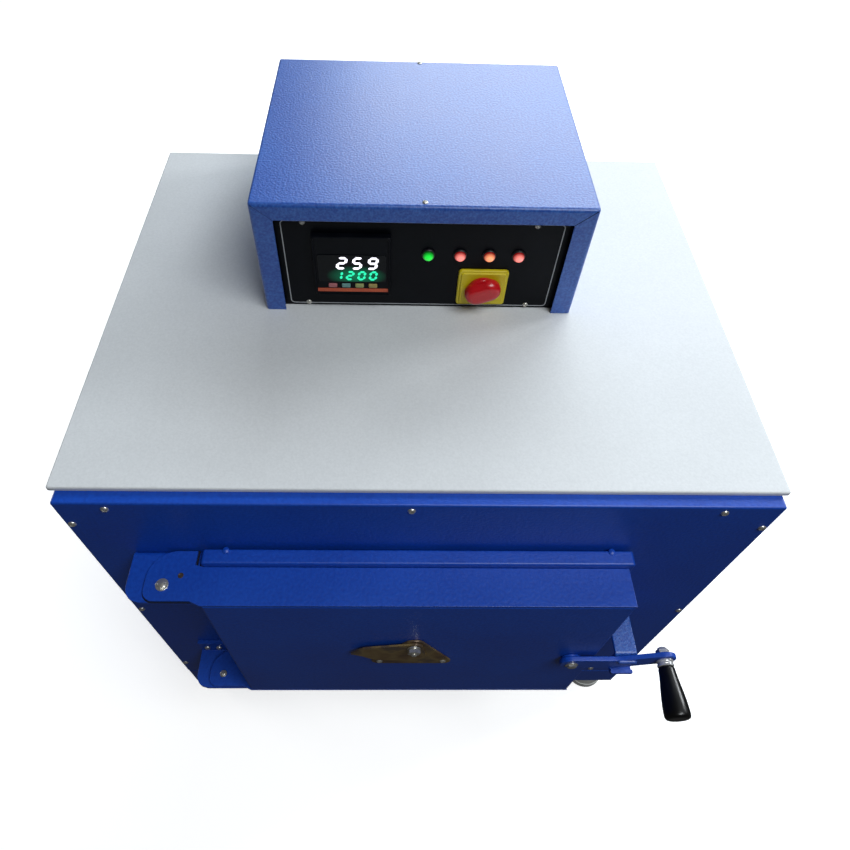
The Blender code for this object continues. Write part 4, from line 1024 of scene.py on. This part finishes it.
# Lamps. Round neon indicators: a black collar, and a ribbed lens with a bright heart.
def lens(name, centre, rim_code, heart_code, strength):
    """A lens lit from its middle: the colour and light fall off with distance from the lamp's axis."""
    material, tree, shader = new_material(name, Roughness=0.15, Coat_Weight=0.6, Emission_Strength=strength)
    share = add(tree, "MapRange", {"Value": distance_from(tree, centre), "From Min": 2.6 * MM,
                                   "From Max": 5.3 * MM})
    colour = add(tree, "Mix", {"Factor": share.outputs[0], "A": linear(heart_code), "B": linear(rim_code)},
                 data_type="RGBA")
    feed(tree, shader, {"Base Color": colour.outputs["Result"], "Emission Color": colour.outputs["Result"]})
    return material


collar = [(5.5, 0.05), (6.2, 0.05), (6.3, 0.4), (6.3, 2.0), (5.9, 2.5), (5.5, 2.5)]
collars = []
for name, slot, rim_code, heart_code in (
        ("lamp_heating", "green_lens", "#06400F", "#1CDC3C"),
        ("lamp_phase_1", "red_lens", "#700A0A", "#FF8A80"),
        ("lamp_phase_2", "red_lens", "#700A0A", "#FF9E70"),
        ("lamp_phase_3", "red_lens", "#700A0A", "#FF8A80")):
    low, high = span(name)
    axis = ((low + high) / 2)[[0, 2]]
    deep = front - low[1]
    place = (axis[0], front, axis[1])
    collars.append(lathe(collar, place, (0, -1, 0), 40))
    profile = [(4.9, -20), (4.9, 0), (5.4, 0.1), (5.4, 3.2), (5.0, 4.2), (4.6, 4.4), (4.3, 5.2), (3.8, 5.4),
               (3.4, 6.3), (2.8, 6.5), (2.2, 7.2), (1.3, deep - 0.15), (0.4, deep)]
    build(name + "_lens", lathe(profile, place, (0, -1, 0), 40),
          lens(name + "_lens", axis, rim_code, heart_code, 0.9), "furnace", slot, name)
build("lamp_collars", join(*collars), black_plastic, "furnace", "black_plastic")

# Mains switch. A yellow plate behind a red rotary knob, whose oval grip stands on a round skirt.
low, high = span("switch_plate")
centre, half = middle_and_half(low, high, "y")
lowered = np.array((0, 1.8))
centre, half = centre - lowered, half - lowered
yellow = grainy("moulded_yellow_abs", "#CDB90E", "#DECB1E", 0.38, 1.2, 0.04)
rings = fold(centre, half, 3.5, high[1], low[1] + 1.2, 1.2)
rings += [(centre, half - 2.4, 2.6, low[1] + 1.2), (centre, half - 3.0, 2.4, low[1])]
build("switch_escutcheon", loft(rings, "y"), yellow, "furnace", "yellow_plastic", "switch_plate")
red = grainy("moulded_red_abs", "#B80C16", "#D41822", 0.3, 1.5, 0.03, Coat_Weight=0.3)
low, high = span("switch_knob")
middle = ((low + high) / 2)[[0, 2]]
skirt_back = high[1] - 4
skirt = lathe([(4, -4), (4, 0), (13.6, 0), (14.4, 0.6), (14.4, 3.4), (13.7, 4.6), (12.2, 5.4), (10, 5.6),
               (2, 5.6)], (middle[0], skirt_back, middle[1]), (0, -1, 0), 64)
bar_base = skirt_back - 5.4
ovals = [((17.6, 12.2), 12, bar_base + 3), ((17.8, 12.4), 12.2, bar_base), ((17.2, 11.4), 11.2, bar_base - 3),
         ((15.8, 9.6), 9.4, low[1] + 3.4), ((13.8, 7.4), 7.2, low[1] + 2.3), ((10.5, 4.4), 4.2, low[1] + 1.8)]
bar = loft([((0, 0), *oval) for oval in ovals], "y", steps=8)
tilt = math.radians(24)
spin = np.array([[math.cos(tilt), 0, -math.sin(tilt)], [0, 1, 0], [math.sin(tilt), 0, math.cos(tilt)]])
points = bar[0] @ spin.T + [middle[0], 0, middle[1]]
build("switch_knob_moulding", join(skirt, (points, bar[1])), red, "switch_knob", "red_plastic", "switch_knob")
